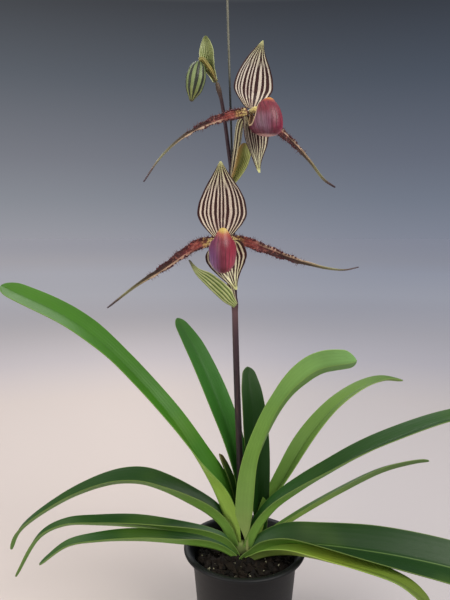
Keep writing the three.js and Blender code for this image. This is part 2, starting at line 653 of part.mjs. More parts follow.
function sepalGeometry(line, { width, cup, thick, rows }, breadth, swell) {
  const full = along(width);
  const widest = Math.max(...width.map(([, wide]) => wide));
  const side = line[line.length - 1][2] > 0 ? 1 : -1;
  return blade({
    curve: spline(line.map(inFlower)),
    across: new THREE.Vector3(side, 0, 0), places: rowPlaces(rows),
    columns: [-1, -0.72, -0.36, 0, 0.36, 0.72, 1],
    shape: (column, place, grown) => {
      const reach = column * (full(place) * breadth / 2 + grown);
      return [reach, -cup * (2 * reach / widest / breadth) ** 2];
    },
    half: () => thick / 2,
  }, swell);
}

function petalGeometry(line, width, swell) {
  const full = along(width);
  const turning = along(PETAL.roll);
  const side = line[line.length - 1][0] > 0 ? 1 : -1;
  const fade = along([[0, 1], [PETAL.wartedUpTo * 0.8, 1], [PETAL.wartedUpTo, 0], [1, 0]]);
  return blade({
    curve: spline(line.map(inFlower)),
    across: new THREE.Vector3(0, 0, side), roll: place => side * turning(place),
    places: rowPlaces(PETAL.rows), columns: [-1, 0, 1],
    shape: (column, place, grown) => {
      const wave = Math.sin(place * PETAL.warts / PETAL.wartedUpTo * 2 * Math.PI + column);
      const wart = Math.abs(column) * PETAL.wartHeight * Math.max(wave, 0) * fade(place);
      const ruffle = column * PETAL.ruffle * Math.cos(place * PETAL.ruffles * 2 * Math.PI) * fade(place);
      return [column * (full(place) / 2 + grown + wart), ruffle];
    },
    half: () => PETAL.thick / 2,
  }, swell);
}

// The slipper's wall is an outer and an inner cup that share a rim.
function lipGeometry({ centre, halfWidth, lean, rim: rimStops, girth: girthStops }, swell) {
  const { front, back, floor, slope, wall, rows, sides } = LIP;
  const top = rimStops[0][1];
  const girth = along(girthStops);
  const rimAt = along(rimStops);
  const cup = inset => {
    const lines = [];
    for (let i = 0; i <= rows; i += 1) {
      const rise = i / rows;
      lines.push(Array.from({ length: sides }, (_, k) => {
        const turn = k / sides * 2 * Math.PI;
        const ahead = Math.cos(turn);
        const rim = rimAt(Math.abs(turn > Math.PI ? turn / Math.PI - 2 : turn / Math.PI));
        const low = floor + inset;
        const up = low + (rim + Math.max(-inset, 0) - low) * rise;
        const height = (up - floor) / (top - floor);
        const round = girth(height);
        const reach = (ahead > 0 ? front : back) * round - inset;
        const out = (halfWidth * round - inset) * Math.sin(turn);
        return [out, centre - lean * height ** 2 + reach * ahead, up - slope * reach * ahead * (1 - height)];
      }));
    }
    return lines;
  };
  const outer = cup(-swell);
  const inner = cup(wall + swell);
  const corners = [...outer.flat(), ...inner.flat()].map(place => point(inFlower(place)));
  const outside = (i, k) => i * sides + k % sides;
  const inside = (i, k) => (rows + 1 + i) * sides + k % sides;
  const sole = corners.push(point(inFlower([0, centre, floor - swell]))) - 1;
  const insole = corners.push(point(inFlower([0, centre, floor + wall + swell]))) - 1;
  const triangles = [];
  for (let k = 0; k < sides; k += 1) {
    triangles.push([sole, outside(0, k + 1), outside(0, k)], [insole, inside(0, k), inside(0, k + 1)]);
    for (let i = 0; i < rows; i += 1) {
      triangles.push([outside(i, k), outside(i + 1, k + 1), outside(i + 1, k)]);
      triangles.push([outside(i, k), outside(i, k + 1), outside(i + 1, k + 1)]);
      triangles.push([inside(i, k), inside(i + 1, k), inside(i + 1, k + 1)]);
      triangles.push([inside(i, k), inside(i + 1, k + 1), inside(i, k + 1)]);
    }
    triangles.push([outside(rows, k), inside(rows, k + 1), inside(rows, k)]);
    triangles.push([outside(rows, k), outside(rows, k + 1), inside(rows, k + 1)]);
  }
  return skin(corners, triangles);
}

function budStalkGeometry(swell) {
  return stalk({
    curve: spline(BUD.stalk), across: new THREE.Vector3(0, 1, 0),
    radius: along(BUD.stalkRadius), places: evenPlaces(7), sides: 8,
  }, swell);
}

function budGeometry(swell) {
  return stalk({
    curve: spline(BUD.line), across: new THREE.Vector3(1, 0, 0),
    radius: along(BUD.radius), places: evenPlaces(11), sides: 12,
  }, swell);
}

function flower(which) {
  const group = flowerGroup(which);
  const lines = FLOWER_LINES[which];
  const { breadth } = FLOWERS[which];
  const wide = PETAL.widths[which];
  const shapes = fitTogether([
    { name: 'staminode', make: columnGeometry },
    { name: 'lip', make: swell => lipGeometry(LIPS[which], swell) },
    { name: 'dorsal_sepal', make: swell => sepalGeometry(lines.dorsal_sepal, DORSAL, 1, swell) },
    { name: 'synsepal', make: swell => sepalGeometry(lines.synsepal, SYNSEPAL, breadth, swell) },
    { name: 'petal_left', make: swell => petalGeometry(lines.petal_left, wide, swell) },
    { name: 'petal_right', make: swell => petalGeometry(lines.petal_right, wide, swell) },
  ]);
  const finishes = {
    staminode: 'column', lip: 'lip', dorsal_sepal: 'sepal', synsepal: 'sepal',
    petal_left: 'petal', petal_right: 'petal',
  };
  for (const [part, geometry] of Object.entries(shapes)) {
    group.add(mesh(`${which}_${part}`, geometry, finishes[part]));
  }
  return group;
}

function orchid() {
  const group = new THREE.Group();
  group.add(mesh('pot', potGeometry(), 'pot'));
  const finishOf = name => Object.keys(COLOURS).find(finish => name.startsWith(finish));
  for (const [name, geometry] of Object.entries(fitTogether(plantPieces()))) {
    group.add(mesh(name, geometry, name === 'bud_stalk' ? 'bract' : finishOf(name)));
  }
  group.add(flower('lower'), flower('upper'));
  return group;
}

export default orchid();
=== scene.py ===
# %% [markdown]
# # A potted slipper orchid
# A slipper orchid stands in a black nursery pot: a fan of strap leaves, one dark stem beside a thin
# stake, two open flowers and a nodding bud. Every value below is written in millimetres and turned
# into metres by one factor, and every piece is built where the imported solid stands, so nothing is
# fitted afterwards.

# %% Load the fixed frame
import json
import math

import bpy
import numpy as np
from mathutils import Matrix, Vector

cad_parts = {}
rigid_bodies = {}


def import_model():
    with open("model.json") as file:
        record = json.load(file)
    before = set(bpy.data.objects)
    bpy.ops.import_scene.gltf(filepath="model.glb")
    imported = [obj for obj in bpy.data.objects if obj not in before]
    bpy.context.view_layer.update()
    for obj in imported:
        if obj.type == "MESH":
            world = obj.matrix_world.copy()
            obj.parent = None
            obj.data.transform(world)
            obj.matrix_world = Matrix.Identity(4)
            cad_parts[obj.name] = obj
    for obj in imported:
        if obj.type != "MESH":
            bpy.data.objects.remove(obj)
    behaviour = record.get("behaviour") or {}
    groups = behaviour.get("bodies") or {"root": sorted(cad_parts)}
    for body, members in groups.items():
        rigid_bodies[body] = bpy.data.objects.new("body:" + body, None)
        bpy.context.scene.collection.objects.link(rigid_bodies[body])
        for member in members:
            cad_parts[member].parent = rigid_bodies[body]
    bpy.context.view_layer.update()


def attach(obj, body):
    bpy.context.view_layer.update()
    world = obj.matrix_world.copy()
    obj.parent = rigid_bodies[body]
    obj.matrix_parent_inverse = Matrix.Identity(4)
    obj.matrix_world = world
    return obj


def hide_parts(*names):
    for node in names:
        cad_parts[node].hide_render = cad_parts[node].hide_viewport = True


for leftover in list(bpy.data.objects):
    bpy.data.objects.remove(leftover)
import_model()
MM = 0.001

# %% [markdown]
# ## Camera
# The rim of the pot is a circle seen as an ellipse, and that fixes the view: the camera stands a
# little to the left, about 0.6 m away and level with the flowers, and looks down about 8 degrees.
# The frame is 450 pixels wide and 600 high.

# %% The camera
CAMERA_PLACE = (-21, -585, 463.7)
CAMERA_PITCH = 7.8
FOCAL_PIXELS = 583.3
FRAME_PIXELS = (450, 600)
SENSOR = 36


def new_object(name, data):
    """An object that holds this data, put into the scene."""
    made = bpy.data.objects.new(name, data)
    bpy.context.scene.collection.objects.link(made)
    return made


camera_data = bpy.data.cameras.new("camera")
camera_data.sensor_width = SENSOR
camera_data.lens = SENSOR * FOCAL_PIXELS / max(FRAME_PIXELS)
camera_data.clip_start = 0.01
camera = new_object("camera", camera_data)
camera.location = [value * MM for value in CAMERA_PLACE]
camera.rotation_euler = (math.radians(90 - CAMERA_PITCH), 0, 0)
bpy.context.scene.camera = camera
print("lens:", round(camera_data.lens, 2), "mm")

# %% [markdown]
# ## Values that change along a line
# Leaves, petals and stalks all follow a middle line and change their width on the way. `along` turns
# a few stops into a smooth value that never overshoots them, and `smooth_line` turns a few points
# into an even curve. Both are numbers only: no Blender object is needed yet.

# %% Stops and lines
def along(stops):
    """A smooth value between [place, value] stops that never passes beyond them."""
    places, values = (np.array(column, float) for column in zip(*stops))
    span = np.diff(places)
    rise = np.diff(values) / span
    slopes = np.zeros(len(values))
    slopes[0], slopes[-1] = rise[0], rise[-1]
    for i in range(1, len(values) - 1):
        if rise[i - 1] * rise[i] > 0:
            slopes[i] = 2 / (1 / rise[i - 1] + 1 / rise[i])

    def value(place):
        at = np.clip(place, places[0], places[-1])
        i = np.clip(np.searchsorted(places, at, side="right") - 1, 0, len(span) - 1)
        u = (at - places[i]) / span[i]
        ease = u * u * (3 - 2 * u)
        pull = span[i] * u * (1 - u) * (slopes[i] * (1 - u) - slopes[i + 1] * u)
        return values[i] * (1 - ease) + values[i + 1] * ease + pull

    return value


def smooth_line(points, places, fine=200):
    """Points at these shares of the length of a smooth curve through a few given points."""
    points = np.array(points, float)
    knots = np.vstack([2 * points[0] - points[1], points, 2 * points[-1] - points[-2]])
    step = np.linspace(0, 1, fine, endpoint=False)[:, None]
    stretches = []
    for i in range(len(points) - 1):
        before, start, end, after = knots[i:i + 4]
        gaps = [np.linalg.norm(b - a) ** 0.5 for a, b in ((before, start), (start, end), (end, after))]
        leave = (start - before) / gaps[0] - (end - before) / (gaps[0] + gaps[1]) + (end - start) / gaps[1]
        arrive = (end - start) / gaps[1] - (after - start) / (gaps[1] + gaps[2]) + (after - end) / gaps[2]
        stretches.append(
            start * (2 * step**3 - 3 * step**2 + 1)
            + leave * gaps[1] * (step**3 - 2 * step**2 + step)
            + end * (3 * step**2 - 2 * step**3)
            + arrive * gaps[1] * (step**3 - step**2)
        )
    path = np.vstack([*stretches, points[-1:]])
    reach = np.concatenate([[0], np.cumsum(np.linalg.norm(np.diff(path, axis=0), axis=1))])
    return np.column_stack([np.interp(places, reach / reach[-1], path[:, k]) for k in range(3)])


LINE_POINTS = 240
ROUND_ENDED = 0.5 - 0.5 * np.cos(np.linspace(0, math.pi, LINE_POINTS))
TOWARD_TIP = 1 - (1 - np.linspace(0, 1, LINE_POINTS)) ** 1.6
print("a line has", LINE_POINTS, "points, closer together at its ends or towards its tip")

# %% [markdown]
# ## Node trees as arithmetic
# Shapes and finishes are both node trees. Wiring Math nodes by hand hides the sum that they make, so
# a socket is wrapped in `Flow`, which turns `a * b + c` into the nodes for it, for numbers and for
# vectors alike. Every other node comes from one method, `node`, that takes its type, its settings
# and what goes into its sockets.

# %% Flow and Nodes
class Flow:
    """A value on its way through a node tree. Arithmetic on it adds the nodes."""

    def __init__(self, nodes, socket):
        self.nodes = nodes
        self.socket = socket

    def __add__(self, other):
        return self.nodes.sum("ADD", self, other)

    def __sub__(self, other):
        return self.nodes.sum("SUBTRACT", self, other)

    def __rsub__(self, other):
        return self.nodes.sum("SUBTRACT", other, self)

    def __mul__(self, other):
        return self.nodes.sum("MULTIPLY", self, other)

    def __truediv__(self, other):
        return self.nodes.sum("DIVIDE", self, other)

    def __rtruediv__(self, other):
        return self.nodes.sum("DIVIDE", other, self)

    def __pow__(self, other):
        return self.nodes.sum("POWER", self, other)

    def __abs__(self):
        return self.nodes.sum("ABSOLUTE", self)

    __radd__ = __add__
    __rmul__ = __mul__

    def sin(self):
        return self.nodes.sum("SINE", self)

    def cos(self):
        return self.nodes.sum("COSINE", self)

    def rise(self, low, high):
        """0 below low and 1 above high with a soft step between them; high may be the lower one."""
        return self.nodes.value(
            "ShaderNodeMapRange", {"interpolation_type": "SMOOTHSTEP"},
            {"Value": self, "From Min": low, "From Max": high})


def colour(code):
    """Six hex digits as the linear colour that a node wants."""
    shares = [int(code[i:i + 2], 16) / 255 for i in (0, 2, 4)]
    return tuple(c / 12.92 if c <= 0.04045 else ((c + 0.055) / 1.055) ** 2.4 for c in shares)


class Nodes:
    """Adds nodes to a tree, for a shape or for a finish."""

    def __init__(self, tree):
        self.tree = tree

    def node(self, kind, settings=None, sockets=None):
        made = self.tree.nodes.new(kind)
        for name, value in (settings or {}).items():
            setattr(made, name, value)
        for key, value in (sockets or {}).items():
            self.give(self.find(made.inputs, key), value)
        return made

    def find(self, sockets, key):
        if isinstance(key, int):
            return sockets[key]
        fitting = [s for s in sockets if key in (s.identifier, s.name)]
        return ([s for s in fitting if s.enabled] or fitting)[0]

    def give(self, socket, value):
        """Links a value on its way, or sets a constant, where a colour is given by its code."""
        if isinstance(value, Flow):
            self.tree.links.new(value.socket, socket)
        elif socket.type == "RGBA":
            socket.default_value = (*colour(value), 1)
        else:
            socket.default_value = value

    def out(self, made, key=0):
        return Flow(self, self.find(made.outputs, key))

    def value(self, kind, settings=None, sockets=None, key=0):
        """One output of a new node."""
        return self.out(self.node(kind, settings, sockets), key)

    def sum(self, operation, *values):
        """The Math node for a sum, or its vector form where a vector comes in."""
        vectors = [v for v in values if isinstance(v, Flow) and v.socket.type == "VECTOR"]
        if not vectors:
            return self.value("ShaderNodeMath", {"operation": operation}, dict(enumerate(values)))
        if operation == "MULTIPLY" and len(vectors) == 1:
            scale = next(v for v in values if v is not vectors[0])
            return self.value("ShaderNodeVectorMath", {"operation": "SCALE"}, {0: vectors[0], "Scale": scale})
        return self.vector(operation, *values)

    def vector(self, operation, *values):
        made = self.node("ShaderNodeVectorMath", {"operation": operation}, dict(enumerate(values)))
        return self.out(made, "Value" if operation in ("DOT_PRODUCT", "LENGTH") else "Vector")

    def split(self, vector):
        """The three parts of a vector."""
        made = self.node("ShaderNodeSeparateXYZ", {}, {0: vector})
        return [self.out(made, key) for key in range(3)]

    def combine(self, *parts):
        return self.value("ShaderNodeCombineXYZ", {}, dict(enumerate(parts)))

    def mix(self, factor, first, second):
        """Two colours mixed by a factor, the first where it is 0."""
        return self.value(
            "ShaderNodeMix", {"data_type": "RGBA"},
            {"Factor_Float": factor, "A_Color": first, "B_Color": second}, "Result_Color")


print("node helpers ready")

# %% [markdown]
# ## One tree for every blade
# A leaf, a sheath, a sepal and a petal are the same thing to a maker: a thin blade swept along a
# middle line, folded or cupped, wider here and narrower there. So one Geometry Nodes tree sweeps them
# all. The middle line comes in as a row of vertices that carry the half width, the roll and the fold
# as attributes, and the tree bends a grid round it, gives it two faces and closes its edges. Rolling
# a plane and pulling it by hand would need the same work twenty-four times.

# %% Inputs and attributes of the trees
def new_tree(name, inputs):
    """A Geometry Nodes tree with named inputs, and the Nodes that fill it."""
    tree = bpy.data.node_groups.new(name, "GeometryNodeTree")
    tree.interface.new_socket("Geometry", in_out="OUTPUT", socket_type="NodeSocketGeometry")
    tree.interface.new_socket("Geometry", in_out="INPUT", socket_type="NodeSocketGeometry")
    for label, kind in inputs.items():
        tree.interface.new_socket(label, in_out="INPUT", socket_type=f"NodeSocket{kind}")
    nodes = Nodes(tree)
    given = nodes.node("NodeGroupInput")
    return tree, nodes, {label: nodes.out(given, label) for label in ["Geometry", *inputs]}


def named(nodes, name, kind="FLOAT"):
    return nodes.value("GeometryNodeInputNamedAttribute", {"data_type": kind}, {"Name": name})


def store(nodes, geometry, name, value, kind="FLOAT", domain="POINT"):
    return nodes.value(
        "GeometryNodeStoreNamedAttribute", {"data_type": kind, "domain": domain},
        {"Geometry": geometry, "Name": name, "Value": value},
    )


def move(nodes, geometry, position=None, offset=None, selection=None):
    sockets = {"Geometry": geometry, "Position": position, "Offset": offset, "Selection": selection}
    given = {key: value for key, value in sockets.items() if value is not None}
    return nodes.value("GeometryNodeSetPosition", {}, given)


def join(nodes, *parts):
    made = nodes.node("GeometryNodeJoinGeometry")
    for part in reversed(parts):
        nodes.tree.links.new(part.socket, made.inputs[0])
    return nodes.out(made)


def end_tree(nodes, geometry, material):
    """The closing nodes: real geometry, smooth faces, its material and the output."""
    real = nodes.value("GeometryNodeRealizeInstances", {}, {"Geometry": geometry})
    smooth = nodes.value("GeometryNodeSetShadeSmooth", {}, {"Geometry": real})
    painted = nodes.value("GeometryNodeSetMaterial", {}, {"Geometry": smooth, "Material": material})
    nodes.node("NodeGroupOutput", {}, {"Geometry": painted})


def swept_grid(nodes, given):
    """A flat grid with its place along (0 to 1) and across (0 to 1), and the line's frame there."""
    grid = nodes.node("GeometryNodeMeshGrid", {}, {
        "Size X": 1.0, "Size Y": 1.0, "Vertices X": given["Rows"], "Vertices Y": given["Columns"],
    })
    share = nodes.split(nodes.out(grid, "UV Map"))
    curve = nodes.value("GeometryNodeMeshToCurve", {}, {"Mesh": given["Geometry"]})
    return nodes.out(grid, "Mesh"), share[0], share[1], curve


def frame_on(nodes, curve, place, across):
    """Where the line is at a place, its directions across and to the inner face, half width and fold."""
    def sample(value=0.0):
        return nodes.node(
            "GeometryNodeSampleCurve", {"mode": "FACTOR", "data_type": "FLOAT", "use_all_curves": False},
            {"Curves": curve, "Factor": place, "Value": value},
        )

    half, roll, fold = (nodes.out(sample(named(nodes, name)), "Value") for name in ("half", "roll", "fold"))
    middle = sample()
    ahead = nodes.vector("NORMALIZE", nodes.out(middle, "Tangent"))
    level = across - ahead * nodes.vector("DOT_PRODUCT", across, ahead)
    side = nodes.value("ShaderNodeVectorRotate", {"rotation_type": "AXIS_ANGLE"}, {
        "Vector": nodes.vector("NORMALIZE", level), "Axis": ahead, "Angle": roll,
    })
    inner = nodes.vector("CROSS_PRODUCT", ahead, side)
    return nodes.out(middle, "Position"), side, inner, half, fold

# %% [markdown]
# ### The blade tree
# A flat grid is bent in one go: every vertex looks up the line at its own place, moves sideways by the
# half width and up by the fold, and only then the sheet gets its thickness. Bending first and
# thickening last keeps the two faces parallel, as they are in a real leaf.

# %% The blade tree
def blade_tree():
    tree, nodes, given = new_tree("blade_along_line", {
        "Rows": "Int", "Columns": "Int", "Across": "Vector", "Bow": "Float", "Centred": "Float",
        "Cup": "Float", "Ruffle": "Float", "Ruffles": "Float", "Ruffled Up To": "Float",
        "Edge": "Float", "Keel": "Float", "Soft Keel": "Float", "Tip Rows": "Float", "Material": "Material",
    })
    grid, length_share, width_share, curve = swept_grid(nodes, given)
    place = 1 - (1 - length_share) ** given["Tip Rows"]
    span = ((width_share - 0.5) * math.pi).sin()
    reach = abs(span)
    eased = (span ** 2 + given["Soft Keel"] ** 2) ** 0.5 - given["Soft Keel"] * (1 - reach)
    origin, side, inner, half, fold = frame_on(nodes, curve, place, given["Across"])
    bend = fold * (1 + given["Bow"] * (0.5 - reach))
    out = span * half * bend.cos()
    rim_lift = half * (fold * (1 - given["Bow"] * 0.5)).sin()
    lift = eased * half * bend.sin() - rim_lift * given["Centred"] - given["Cup"] * (span * half) ** 2
    fade = place.rise(given["Ruffled Up To"], given["Ruffled Up To"] * 0.8)
    wave = (place * given["Ruffles"] * (2 * math.pi) + span).cos()
    lift = lift + span * reach * given["Ruffle"] * wave * fade
    sheet = move(nodes, grid, position=origin + side * out + inner * lift)
    uv = nodes.combine(place, span * 0.5 + 0.5)
    sheet = store(nodes, sheet, "UVMap", uv, "FLOAT2", "CORNER")
    sheet = store(nodes, sheet, "place", place)
    sheet = store(nodes, sheet, "span", span)
    sheet = store(nodes, sheet, "outward", side * nodes.sum("SIGN", span), "FLOAT_VECTOR")
    normal = nodes.value("GeometryNodeInputNormal")
    sheet = store(nodes, sheet, "facing", normal, "FLOAT_VECTOR")
    thick = given["Keel"] + (given["Edge"] - given["Keel"]) * reach
    facing = named(nodes, "facing", "FLOAT_VECTOR")
    under = move(nodes, sheet, offset=facing * (thick * -0.5))
    raised = nodes.node("GeometryNodeExtrudeMesh", {"mode": "FACES"}, {
        "Mesh": under, "Offset Scale": 0.0, "Individual": False})
    top = move(nodes, nodes.out(raised, "Mesh"), offset=facing * thick, selection=nodes.out(raised, "Top"))
    top = store(nodes, top, "under", 0.0, domain="FACE")
    under = nodes.value("GeometryNodeFlipFaces", {}, {"Mesh": under})
    under = store(nodes, under, "under", 1.0, domain="FACE")
    closed = nodes.value(
        "GeometryNodeMergeByDistance", {}, {"Geometry": join(nodes, top, under), "Distance": 1e-7})
    end_tree(nodes, closed, given["Material"])
    return tree


BLADE = blade_tree()
print("blade tree:", len(BLADE.nodes), "nodes")

# %% [markdown]
# ## From a line to a finished piece
# A tree needs something to run on. `line_object` makes the row of vertices with its attributes, `grow` puts
# the tree on it and sets the inputs by their identifiers, `keep_result` turns the result into a plain mesh,
# and `hand_over` hangs the piece on the plant's body and hides the solids that it stands for.

# %% Growing a piece
def carry(mesh, label, values):
    """Stores one number for every vertex under a name."""
    mesh.attributes.new(label, "FLOAT", "POINT").data.foreach_set("value", np.array(values, np.float32))


def line_object(name, positions, **attributes):
    mesh = bpy.data.meshes.new(name)
    edges = [(i, i + 1) for i in range(len(positions) - 1)]
    mesh.from_pydata([tuple(p) for p in positions * MM], edges, [])
    for label, values in attributes.items():
        carry(mesh, label, values)
    return new_object(name, mesh)


def keep_result(name, source, material):
    """A plain mesh with the modifiers' result and one material; the source is taken away."""
    graph = bpy.context.evaluated_depsgraph_get()
    mesh = bpy.data.meshes.new_from_object(source.evaluated_get(graph))
    mesh.name = name
    mesh.materials.clear()
    mesh.materials.append(material)
    bpy.data.objects.remove(source)
    return new_object(name, mesh)


def grow(name, source, tree, **inputs):
    """Runs a tree on an object and keeps the result under a new name."""
    modifier = source.modifiers.new("grow", "NODES")
    modifier.node_group = tree
    sockets = {item.name: item.identifier for item in tree.interface.items_tree if item.in_out == "INPUT"}
    for label, value in inputs.items():
        modifier[sockets[label.replace("_", " ")]] = value
    return keep_result(name, source, inputs["Material"])


def hand_over(piece, slot, *nodes):
    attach(piece, "root")
    if nodes:
        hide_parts(*nodes)
    print(piece.name, "faces", len(piece.data.polygons))
    return piece


PLAIN_BLADE = dict(Bow=0.0, Centred=0.0, Cup=0.0, Ruffle=0.0, Ruffles=1.0, Ruffled_Up_To=2.0)


def blade(name, slot, node, line, across, material, half, roll, fold, **shape):
    """A blade along a line, which stands for one solid; half is in millimetres."""
    source = line_object(name + "_line", line, half=half * MM, roll=roll, fold=fold)
    made = grow(name, source, BLADE, Across=tuple(across), Material=material, **{**PLAIN_BLADE, **shape})
    return hand_over(made, slot, node)

# %% [markdown]
# ## One tree for every stalk
# The flower stem, the ovaries, the bud and its stalk, the beaked shield and the short stem under the
# leaves are round bodies along a line. The second tree is the first one's sister: it wraps the same
# grid into a tube, so the seam meets itself, and the radius falls to nothing at both ends, so the
# ends close. Ribs are a wave round the section, as on an ovary.

# %% The stalk tree
def stalk_tree():
    tree, nodes, given = new_tree("stalk_along_line", {
        "Rows": "Int", "Columns": "Int", "Across": "Vector", "Flatten": "Float", "Ribs": "Float",
        "Rib Depth": "Float", "Material": "Material",
    })
    grid, length_share, turn_share, curve = swept_grid(nodes, given)
    place = 0.5 - (length_share * math.pi).cos() * 0.5
    origin, side, inner, half = frame_on(nodes, curve, place, given["Across"])[:4]
    turn = turn_share * (2 * math.pi)
    radius = half * (1 + (turn * given["Ribs"]).cos() * given["Rib Depth"])
    ring = side * (turn.cos() * radius) + inner * (turn.sin() * radius * given["Flatten"])
    tube = move(nodes, grid, position=origin + ring)
    uv = nodes.combine(place, turn_share)
    tube = store(nodes, tube, "UVMap", uv, "FLOAT2", "CORNER")
    tube = store(nodes, tube, "place", place)
    tube = nodes.value("GeometryNodeFlipFaces", {}, {"Mesh": tube})
    closed = nodes.value("GeometryNodeMergeByDistance", {}, {"Geometry": tube, "Distance": 1e-6})
    end_tree(nodes, closed, given["Material"])
    return tree


STALK = stalk_tree()
print("stalk tree:", len(STALK.nodes), "nodes")


def round_off(place, start, end):
    """1 in the middle, falling like a dome over the first and last share of a length."""
    head = np.clip(1 - place / start, 0, 1) if start else 0 * place
    tail = np.clip((place - 1) / end + 1, 0, 1) if end else 0 * place
    return np.sqrt(np.clip(1 - np.maximum(head, tail) ** 2, 0, 1))


def stalk(name, line, radius, material, slot, node, columns, ends, across=(1, 0, 0), rows=60,
          flatten=1.0, ribs=0.0, rib_depth=0.0):
    """A round body along a line, which stands for one solid; ends are the shares that round off."""
    flat = np.zeros(LINE_POINTS)
    source = line_object(
        name + "_line", smooth_line(line, ROUND_ENDED),
        half=radius(ROUND_ENDED) * round_off(ROUND_ENDED, *ends) * MM, roll=flat, fold=flat)
    made = grow(
        name, source, STALK, Rows=rows, Columns=columns, Across=tuple(across), Flatten=flatten,
        Ribs=ribs, Rib_Depth=rib_depth, Material=material)
    return hand_over(made, slot, node)

# %% [markdown]
# ## Finishes
# Every finish on the plant is drawn by rules: a stripe is a wave across the blade, a vein is a finer
# one, and a blotch is where a noise passes a level. The pieces carry their own map, with the place
# along in U and across in V, so a stripe follows the piece however it bends. Only colour, roughness
# and bump change over a surface, and the rest is set on the shader itself.

# %% The shell of a finish
def finish(name, draw, **constants):
    """A material whose draw function returns base colour, roughness and bump height (or None)."""
    made = bpy.data.materials.new(name)
    made.use_nodes = True
    made.node_tree.nodes.clear()
    nodes = Nodes(made.node_tree)
    base, roughness, height, depth = draw(nodes)
    sockets = {key.replace("_", " "): value for key, value in constants.items()}
    sockets.update({"Base Color": base, "Roughness": roughness})
    if height is not None:
        bump = nodes.node("ShaderNodeBump", {}, {"Strength": 1.0, "Distance": depth * MM, "Height": height})
        sockets["Normal"] = nodes.out(bump)
    shader = nodes.node("ShaderNodeBsdfPrincipled", {}, sockets)
    nodes.node("ShaderNodeOutputMaterial", {}, {"Surface": nodes.out(shader)})
    return made


def object_place(nodes):
    return nodes.value("ShaderNodeTexCoord", key="Object")


def noise(nodes, scale, detail=3.0, where=None, stretch=None):
    """Noise from 0 to 1, scale in features a metre."""
    where = where or object_place(nodes)
    if stretch:
        where = nodes.vector("MULTIPLY", where, stretch)
    return nodes.value("ShaderNodeTexNoise", {}, {"Vector": where, "Scale": scale, "Detail": detail})


def cells(nodes, scale):
    """How far away the nearest of some strewn points is."""
    return nodes.value(
        "ShaderNodeTexVoronoi", {}, {"Vector": object_place(nodes), "Scale": scale}, "Distance")


def along_and_across(nodes):
    """Place along the piece and place across it, both from 0 to 1."""
    return nodes.split(nodes.value("ShaderNodeUVMap", {"uv_map": "UVMap"}))[:2]


def signed(across):
    """From -1 at one edge to 1 at the other."""
    return across * 2 - 1


def height_above_floor(nodes):
    return nodes.split(object_place(nodes))[2]


def carried(nodes, name):
    return nodes.value("ShaderNodeAttribute", {"attribute_name": name}, key="Fac")


def ramp(nodes, place, stops):
    """A colour from stops of (place, colour code)."""
    made = nodes.node("ShaderNodeValToRGB", {}, {"Fac": place})
    elements = made.color_ramp.elements
    while len(elements) < len(stops):
        elements.new(0.5)
    for element, (at, code) in zip(elements, stops):
        element.position = at
        element.color = (*colour(code), 1)
    return nodes.out(made, "Color")


def toned(nodes, factor, base, code, share=0.5):
    """The base colour, drawn by a factor towards its own mixture with another colour."""
    return nodes.mix(factor, base, nodes.mix(share, base, code))

# %% [markdown]
# ### Leaves
# An orchid leaf is a thick leathery strap: glossy and veined lengthwise above, paler and duller below, with a
# groove along the middle. Light is painted into its colour as well: the thin bright rim is a painted
# highlight, the colour below is partly painted light shining through the leaf, and the middle line paints
# shade in the groove above and a sheen on the keel below, and on two leaves above. Each leaf in the fan has
# its own tone, so the finish is a function of its tones rather than one material; some of the tones also
# paint shade or light that falls on that leaf.

# %% Leaf finish
LEAF_GROOVE = 0.34
LEAF_ROUGHNESS = 0.28


def leaf_finish(name, upper, under, painted_midline):
    """upper and under are stops of (place along the leaf, colour code); the given middle line colour is
    painted light along the groove above, and a painted sheen runs along the keel below.
    """
    def draw(nodes):
        place, across = along_and_across(nodes)
        span = signed(across)
        below = carried(nodes, "under")
        cloud = noise(nodes, 28, 4)
        grain = noise(nodes, 260, 3)
        drift = noise(nodes, 9, 2)
        vein = (span * 31 + drift * 2).sin() * 0.5 + 0.5
        fine = noise(nodes, 900, 2, where=nodes.combine(place * 0.01, span * 0.06))
        # the under colour is partly the paler underside and partly painted light shining through the leaf
        skin = nodes.mix(below, ramp(nodes, place, upper), ramp(nodes, place, under))
        skin = toned(nodes, cloud.rise(0.35, 0.75) * 0.35, skin, "1E3E0E")
        skin = toned(nodes, drift.rise(0.5, 0.72) * 0.25, skin, "86A83A")
        skin = toned(nodes, vein * 0.1 + fine * 0.16, skin, "14300C")
        middle = 1 - abs(span).rise(0.0, 0.05)
        # painted light along the middle: on the upper face the given colour, dark for shade in the groove and
        # pale for a sheen on the keel; on the under face a pale painted sheen on the keel
        lit = nodes.mix(middle * LEAF_GROOVE, skin, nodes.mix(below, painted_midline, "A9C264"))
        # painted highlight: a thin bright line along the rim of every leaf
        lit = nodes.mix(abs(span).rise(0.965, 0.995) * 0.25, lit, "A8BE62")
        speck = cells(nodes, 210).rise(0.16, 0.06) * noise(nodes, 45).rise(0.6, 0.66)
        lit = nodes.mix(speck * 0.4, lit, "6A5A30")
        rough = grain * 0.14 + cloud * 0.1 + below * 0.14 + LEAF_ROUGHNESS
        height = vein * 0.25 + fine * 0.5 + grain * 0.2 - middle * (1 - below) * LEAF_GROOVE * 3
        return lit, rough, height, 0.22

    return finish(name, draw, Specular_IOR_Level=0.2, Coat_Weight=0.02, Coat_Roughness=0.3)

# %% [markdown]
# ### Stripes, sheaths and stalks
# The upright sepal is cream with about ten dark maroon stripes that run from its foot and meet at the
# tip. Counted across the blade they are one wave, and they meet by themselves because the map narrows
# with the blade. The sheaths use the same idea in two greens, and the stalks use it round their
# section.

